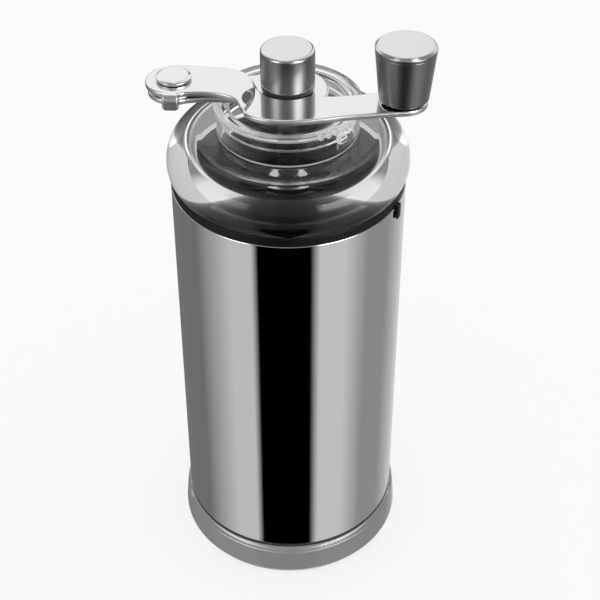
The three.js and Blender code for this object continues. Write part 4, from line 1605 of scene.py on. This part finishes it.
    def step_points(self) -> list[Vector]:
        """Lays out the points that the pressed step needs between its two creases."""
        points = []
        for row in self.step_rows:
            points += arc(self.step_centre, self.step_radius - row, *self.step_arc, self.step_chords)
        for row in self.crease_rows:
            points += arc(self.crease_centre, self.crease_radius - row, *self.crease_arc, self.crease_chords)
        return [Vector(point) for point in points]

    def tab_points(self) -> list[Vector]:
        """Lays out the points that the stop tab needs round its bend."""
        left, columns, rows = self.tab_middle - self.tab_width / 2, 10, 14
        return [
            Vector((left + self.tab_width * i / columns, self.bend_line + self.tab_row_gap * (1 - j)))
            for i in range(columns + 1) for j in range(rows)
        ]

    def outer_link(self) -> bpy.types.Object:
        """Makes the upper link, pressed and bent."""
        loops = [
            self.outer_outline(), hole((-self.pivot, 0), self.pivot_bore), hole(self.knob, self.knob_bore)
        ]
        low, high = self.outer_bottom, self.outer_bottom + self.sheet
        extra = self.step_points() + self.tab_points()
        return sheet("outer_link_pressed", loops, low, high, self.rims, self.form, extra)

    def rivet(self) -> bpy.types.Object:
        """Makes the rivet with its low domed head."""
        seat = self.outer_bottom + self.sheet + self.rivet_gap
        top = seat + self.rivet_rise
        foot = self.link_bottom - self.rivet_foot_height
        return turned("rivet_domed", [
            (0, foot),
            (self.rivet_foot, foot, Edge.BLUNT),
            (self.rivet_foot, self.link_bottom),
            (self.rivet_shank, self.link_bottom),
            (self.rivet_shank, seat),
            (self.rivet_head - self.rivet_under, seat, Edge.CRISP),
            (self.rivet_head, seat + self.rivet_brim, Edge.SOFT),
            (self.rivet_head - self.rivet_crown, top - self.crown_drop, Edge.WIDE),
            (0, top),
        ], MEDIUM, (-self.pivot, 0), steps=8)

    def spacer(self) -> bpy.types.Object:
        """Makes the washer between the links at the pivot."""
        low, high = self.link_bottom + self.sheet, self.outer_bottom - self.rivet_gap
        profile = tube(self.pivot_bore, self.pivot_washer, low, high, Edge.CRISP, Edge.SLIGHT)
        return turned("pivot_spacer", profile, MEDIUM, (-self.pivot, 0))

    def cap(self) -> bpy.types.Object:
        """Makes the cap with its rounded rim and fine seam."""
        seam = self.cap_bottom + self.cap_seam
        cap = turned("cap_turned", [
            (0, self.cap_bottom),
            (self.cap_radius - self.cap_draft, self.cap_bottom, Edge.SOFT),
            (self.cap_radius, seam, Edge.HAIR),
            (self.cap_radius - self.seam_depth, seam + self.seam_middle),
            (self.cap_radius, seam + self.seam_width, Edge.HAIR),
            (self.cap_radius, self.cap_top, self.cap_rim),
            (0, self.cap_top),
        ], steps=8)
        return self.keyed(cap, self.cap_bottom - self.cut_past, self.cap_bore_top)

    def build(self) -> None:
        """Makes and places the pieces."""
        hub_spacer = self.washer("hub_spacer", self.hub_washer, self.seat, self.link_bottom)
        self.place_turned(hub_spacer, Body.CRANK, "hub_washer", Slot.PLAIN)
        self.place_turned(self.inner_link(), Body.CRANK, "inner_link", Slot.CRANK)
        link_top = self.link_bottom + self.sheet
        cap_spacer = self.washer("cap_spacer", self.cap_washer, link_top, self.cap_bottom)
        self.place_turned(cap_spacer, Body.CRANK, "cap_washer", Slot.PLASTIC)
        self.place_turned(self.cap(), Body.CRANK, "crank_cap", Slot.KNOB)
        self.place_turned(self.spacer(), Body.CRANK, "pivot_washer", Slot.PLAIN)
        self.place_turned(self.rivet(), Body.CRANK, "pivot_rivet", Slot.CRANK)
        self.place_turned(self.outer_link(), Body.ARM, "outer_link", Slot.CRANK)


@dataclass
class Knob(CrankFrame):
    """The tapered knob on its pin.

    Attributes:
        chamfer: height of the top's chamfer.
        chamfer_slope: how much further it comes in than down.
        cap_seat: height at which the disc closes the grip.
        wide_bore: radius of the hollow round the pin's head.
        pin_foot: how far the pin's foot stands out under the arm.
    """

    washer_radius: float = 5.5
    washer_height: float = 0.5
    bottom: float = 175.7
    foot_radius: float = 7.3
    top: float = 192.79
    top_radius: float = 9.0
    chamfer: float = 0.8
    chamfer_slope: float = 1.2
    cap_seat: float = 191.0
    pin_radius: float = 2.4
    pin_head: float = 4.2
    pin_head_height: float = 1.8
    pin_foot: float = 1.0
    pin_gap: float = 0.2
    wide_bore: float = 4.5
    bore_floor: float = 187.8

    def wall(self, height: float) -> float:
        """Says how wide the taper is at a height."""
        share = (height - self.bottom) / (self.top - self.bottom)
        return self.foot_radius + (self.top_radius - self.foot_radius) * share

    def grip(self) -> bpy.types.Object:
        """Makes the tapered grip with its bore."""
        return turned("knob_turned", [
            (self.knob_bore, self.bottom, Edge.SLIGHT),
            (self.foot_radius, self.bottom, Edge.ROUND),
            (self.wall(self.cap_seat), self.cap_seat, Edge.HAIR),
            (self.wide_bore, self.cap_seat),
            (self.wide_bore, self.bore_floor),
            (self.knob_bore, self.bore_floor),
        ], FINE, self.knob)

    def disc(self) -> bpy.types.Object:
        """Makes the chamfered disc that closes the knob."""
        shoulder = self.top - self.chamfer
        return turned("knob_disc", [
            (0, self.cap_seat),
            (self.wall(self.cap_seat), self.cap_seat, Edge.HAIR),
            (self.wall(shoulder), shoulder, Edge.MILD),
            (self.top_radius - self.chamfer * self.chamfer_slope, self.top, Edge.SOFT),
            (0, self.top),
        ], FINE, self.knob)

    def pin(self) -> bpy.types.Object:
        """Makes the pin that the knob turns on."""
        arm_bottom = self.outer_bottom - self.joggle
        foot = arm_bottom - self.pin_foot
        head = self.bore_floor + self.pin_gap
        return turned("knob_pin_turned", [
            (0, foot),
            (self.pin_head, foot, Edge.BLUNT),
            (self.pin_head, arm_bottom),
            (self.pin_radius, arm_bottom),
            (self.pin_radius, head),
            (self.pin_head, head),
            (self.pin_head, head + self.pin_head_height, Edge.BLUNT),
            (0, head + self.pin_head_height),
        ], SMALL, self.knob)

    def washer(self) -> bpy.types.Object:
        """Makes the thin washer under the knob."""
        low = self.outer_bottom - self.joggle + self.sheet
        high = low + self.washer_height
        profile = tube(self.knob_bore, self.washer_radius, low, high, Edge.CRISP, Edge.KEEN)
        return turned("knob_spacer", profile, MEDIUM, self.knob)

    def build(self) -> None:
        """Makes and places the pieces."""
        self.place_turned(self.pin(), Body.ARM, "knob_pin", Slot.PLAIN)
        self.place_turned(self.washer(), Body.ARM, "knob_washer", Slot.PLASTIC)
        self.place_turned(self.grip(), Body.KNOB, "knob", Slot.KNOB)
        self.place_turned(self.disc(), Body.KNOB, "knob_cap", Slot.KNOB)


@dataclass
class BurrSpring(SubAssembly):
    """The open coil between the shaft and the burr."""

    node: str = "burr_spring"
    coil_radius: float = 4.9
    wire_radius: float = 0.42
    turns: float = 2.5
    steps: int = 120
    sides: int = 12

    def wire(self, low: float, high: float) -> bpy.types.Object:
        """Winds the wire.

        Args:
            low: height of its lower end.
            high: height of its upper end.

        Returns:
            The coil.
        """
        made = bmesh.new()
        rings = []
        rise = (high - low - 2 * self.wire_radius) / (2 * math.pi * self.turns)
        for i in range(self.steps + 1):
            angle = 2 * math.pi * self.turns * i / self.steps
            outward = Vector((math.cos(angle), math.sin(angle), 0))
            along = Vector((-math.sin(angle) * self.coil_radius, math.cos(angle) * self.coil_radius, rise))
            across = along.normalized().cross(outward)
            middle = outward * self.coil_radius + Vector((0, 0, low + self.wire_radius + rise * angle))
            rings.append([
                made.verts.new(middle + (outward * x + across * y) * self.wire_radius)
                for x, y in arc((0, 0), 1, 0, 360 - 360 / self.sides, self.sides - 1)
            ])
        for ring, following in zip(rings, rings[1:]):
            for i in range(self.sides):
                j = (i + 1) % self.sides
                made.faces.new((ring[i], following[i], following[j], ring[j]))
        made.faces.new(rings[0])
        made.faces.new(list(reversed(rings[-1])))
        return mesh_object("burr_spring_coil", made)

    def build(self) -> None:
        """Makes the coil in the CAD spring's place and hides that spring."""
        low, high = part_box(self.node)
        coil = self.wire(low[2] / MM, high[2] / MM)
        coil.data.materials.append(FINISHES[Slot.PLAIN].material())
        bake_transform(coil)
        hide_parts(self.node)
        log.info("%s: replaces %s", coil.name, self.node)


@dataclass
class HiddenPieces(SubAssembly):
    """The pieces inside whose CAD shape stays, with their finishes."""

    finishes: dict[Slot, list[str]] = field(default_factory=lambda: {
        Slot.RUBBER: ["jar_gasket"],
        Slot.PLASTIC: ["burr_housing", "burr_retainer", "adjusting_nut"],
        Slot.CERAMIC: ["outer_burr", "inner_burr"],
        Slot.PLAIN: [
            "spindle_clip", "spring_washer", "click_plate",
            *[f"{kind}_screw_{i}" for kind in ("retainer", "flange") for i in (1, 2, 3)],
        ],
    })

    def build(self) -> None:
        """Gives each CAD node its finish."""
        for slot, names in self.finishes.items():
            for name in names:
                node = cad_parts[name]
                node.data.materials.clear()
                node.data.materials.append(FINISHES[slot].material())
                log.info("%s: CAD shape in %s", name, slot.value)


@dataclass(frozen=True)
class Card:
    """A plain upright card or lamp that stands round the object.

    Light changes evenly from one card's edge to the next card's.

    Attributes:
        start: azimuth of its left edge in degrees, where 0 is the front and 90 the right.
        end: azimuth of its right edge.
        level: how bright it is, where 1 is white.
    """

    start: float
    end: float
    level: float


@dataclass
class Studio:
    """The floor, the light and the camera.

    Attributes:
        floor_size: the floor's side, in metres.
        floor_tone: how light the floor is.
        floor_glow: share of plain white in the floor, as the camera sees it.
        room_light: the even light on everything that isn't mirrored or seen through.
        camera_place: where the camera stands, in metres.
        camera_pitch: how far it looks down, in degrees.
        camera_roll: how far it is turned about its own axis, in radians.
        lens: its focal length in millimetres.
        shift: its sideways shift.
        low_end: rise of a direction up to which only the low cards show, where 1 is straight up.
        high_start: rise from which only the high cards show.
        low_cards: what stands below the horizon.
        high_cards: what stands above it.
        lamp_cards: the two tall lamps in front, whose light is added.
        lamp_heights: pairs of a direction's rise and the share of the lamps' light that is there.
        through_low: the cards below the horizon, as seen through clear walls.
        through_high: the cards above it, as seen through clear walls.
    """

    floor_size: float = 4.0
    floor_tone: float = 0.9
    floor_glow: float = 0.8
    room_light: float = 0.92
    camera_place: Triple = (0.0, -0.36088, 0.38782)
    camera_pitch: float = 39.251
    camera_roll: float = -0.0062
    lens: float = 85.009
    shift: float = 0.01813
    low_end: float = -0.12
    high_start: float = 0.25
    low_cards: tuple[Card, ...] = (
        Card(-180, -179, 0.42), Card(-172, -105, 0.18), Card(-60, -38, 0.6), Card(-31, 22, 0.0),
        Card(31, 58, 0.63), Card(85, 115, 0.3), Card(155, 172, 0.65), Card(179, 180, 0.42),
    )
    high_cards: tuple[Card, ...] = (
        Card(-180, -132, 0.93), Card(-105, 105, 0.28), Card(132, 157, 0.93), Card(160, 170, 0.12),
        Card(172.5, 180, 0.93),
    )
    lamp_cards: tuple[Card, ...] = (
        Card(-180, -68, 0.0), Card(-58, -42, 6.0), Card(-33, 24, 0.0), Card(32, 54, 12.0),
        Card(66, 180, 0.0),
    )
    lamp_heights: tuple[Pair, ...] = (
        (0.0, 0.0), (0.1, 0.25), (0.2, 0.8), (0.42, 1.0), (0.5, 0.05), (0.7, 0.1), (0.86, 0.1), (0.93, 0.0),
    )
    through_low: tuple[Card, ...] = (
        Card(-180, -138, 0.26), Card(-114, -85, 0.8), Card(-30, 22, 0.25), Card(85, 114, 0.8),
        Card(138, 180, 0.26),
    )
    through_high: tuple[Card, ...] = (
        Card(-180, -125, 0.97), Card(-95, -60, 0.2), Card(-30, 25, 0.05), Card(60, 95, 0.2),
        Card(125, 180, 0.97),
    )

    def floor(self) -> None:
        """Lays the pale floor, which keeps the object's shadow."""
        bpy.ops.mesh.primitive_plane_add(size=self.floor_size, location=(0, 0, -0.0002))
        floor = bpy.context.object
        floor.name = "studio_floor"
        floor.visible_glossy = False
        floor.visible_transmission = False
        made = bpy.data.materials.new("pale_floor")
        made.use_nodes = True
        graph = NodeGraph(made.node_tree)
        diffuse = graph.add("ShaderNodeBsdfDiffuse", Color=grey(self.floor_tone))
        glow = graph.add("ShaderNodeEmission", Color=grey(1.0), Strength=1.0)
        path = graph.add("ShaderNodeLightPath")
        mixed = graph.add("ShaderNodeMixShader")
        out = graph.add("ShaderNodeOutputMaterial")
        share = graph.maths("MULTIPLY", path.outputs["Is Camera Ray"], self.floor_glow)
        graph.link(share, mixed.inputs[0])
        graph.link(diffuse.outputs[0], mixed.inputs[1])
        graph.link(glow.outputs[0], mixed.inputs[2])
        graph.link(mixed.outputs[0], out.inputs["Surface"])
        floor.data.materials.append(made)
        floor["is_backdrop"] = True

    def ring(
        self, graph: NodeGraph, place: bpy.types.NodeSocket, cards: Iterable[Card]
    ) -> bpy.types.NodeSocket:
        """Stands cards round the object.

        Args:
            graph: the world's nodes.
            place: the socket with the azimuth as a share of a turn from behind.
            cards: the cards from left to right, from behind to behind.

        Returns:
            The socket with the level seen in that direction.
        """
        edges = [(angle / 360 + 0.5, card.level) for card in cards for angle in (card.start, card.end)]
        return graph.bands(place, edges)

    def world(self) -> None:
        """Sets the studio that lights the object and that its steel and acrylic mirror."""
        world = bpy.data.worlds.new("studio")
        bpy.context.scene.world = world
        world.use_nodes = True
        graph = NodeGraph(world.node_tree)
        direction = graph.add("ShaderNodeTexCoord")
        parts = graph.add("ShaderNodeSeparateXYZ")
        graph.link(direction.outputs["Generated"], parts.inputs[0])
        front = graph.maths("MULTIPLY", parts.outputs["Y"], -1.0)
        azimuth = graph.maths("ARCTAN2", parts.outputs["X"], front)
        place = graph.maths("MULTIPLY_ADD", azimuth, 1 / (2 * math.pi), 0.5)
        low = self.ring(graph, place, self.low_cards)
        high = self.ring(graph, place, self.high_cards)
        rise = graph.add("ShaderNodeMapRange", From_Min=self.low_end, From_Max=self.high_start)
        graph.link(parts.outputs["Z"], rise.inputs[0])
        mirrored = graph.blend(low, high, rise.outputs[0], "RGBA")
        lamps = self.ring(graph, place, self.lamp_cards)
        height = graph.bands(parts.outputs["Z"], self.lamp_heights)
        mirrored = graph.maths("MULTIPLY_ADD", lamps, height, mirrored)
        below = self.ring(graph, place, self.through_low)
        above = self.ring(graph, place, self.through_high)
        seen_through = graph.blend(below, above, rise.outputs[0], "RGBA")
        path = graph.add("ShaderNodeLightPath")
        shown = graph.blend(grey(self.room_light), mirrored, path.outputs["Is Glossy Ray"], "RGBA")
        shown = graph.blend(shown, seen_through, path.outputs["Is Transmission Ray"], "RGBA")
        shown = graph.blend(shown, grey(1.0), path.outputs["Is Camera Ray"], "RGBA")
        background = graph.add("ShaderNodeBackground", Strength=1.0)
        out = graph.add("ShaderNodeOutputWorld")
        graph.link(shown, background.inputs["Color"])
        graph.link(background.outputs[0], out.inputs["Surface"])

    def camera(self) -> None:
        """Sets the camera at the photograph's angle."""
        data = bpy.data.cameras.new("camera")
        data.lens = self.lens
        data.shift_x = self.shift
        data.clip_start = 0.01
        camera = bpy.data.objects.new("camera", data)
        bpy.context.scene.collection.objects.link(camera)
        tilt = Matrix.Rotation(math.radians(90 - self.camera_pitch), 4, "X")
        roll = Matrix.Rotation(self.camera_roll, 4, "Z")
        camera.matrix_world = Matrix.Translation(self.camera_place) @ tilt @ roll
        bpy.context.scene.camera = camera

    def build(self) -> None:
        """Sets the whole studio."""
        self.camera()
        self.floor()
        self.world()
        bpy.context.scene.view_settings.view_transform = "Standard"


def corners(bounds: Iterable[Iterable[float]]) -> list[list[float]]:
    """Turns a box into plain lists."""
    return [[float(value) for value in corner] for corner in bounds]


def main() -> None:
    """Builds every sub-assembly round the frame."""
    logging.basicConfig(level=logging.INFO, format="%(message)s")
    cad_box = corners(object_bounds())
    Studio().build()
    for assembly in (Receiver(), Head(), Shaft(), Lid(), Crank(), Knob(), BurrSpring(), HiddenPieces()):
        log.info("%s", type(assembly).__name__)
        assembly.build()
    {"cad": cad_box, "visual": corners(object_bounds())}


if __name__ == "__main__":
    main()
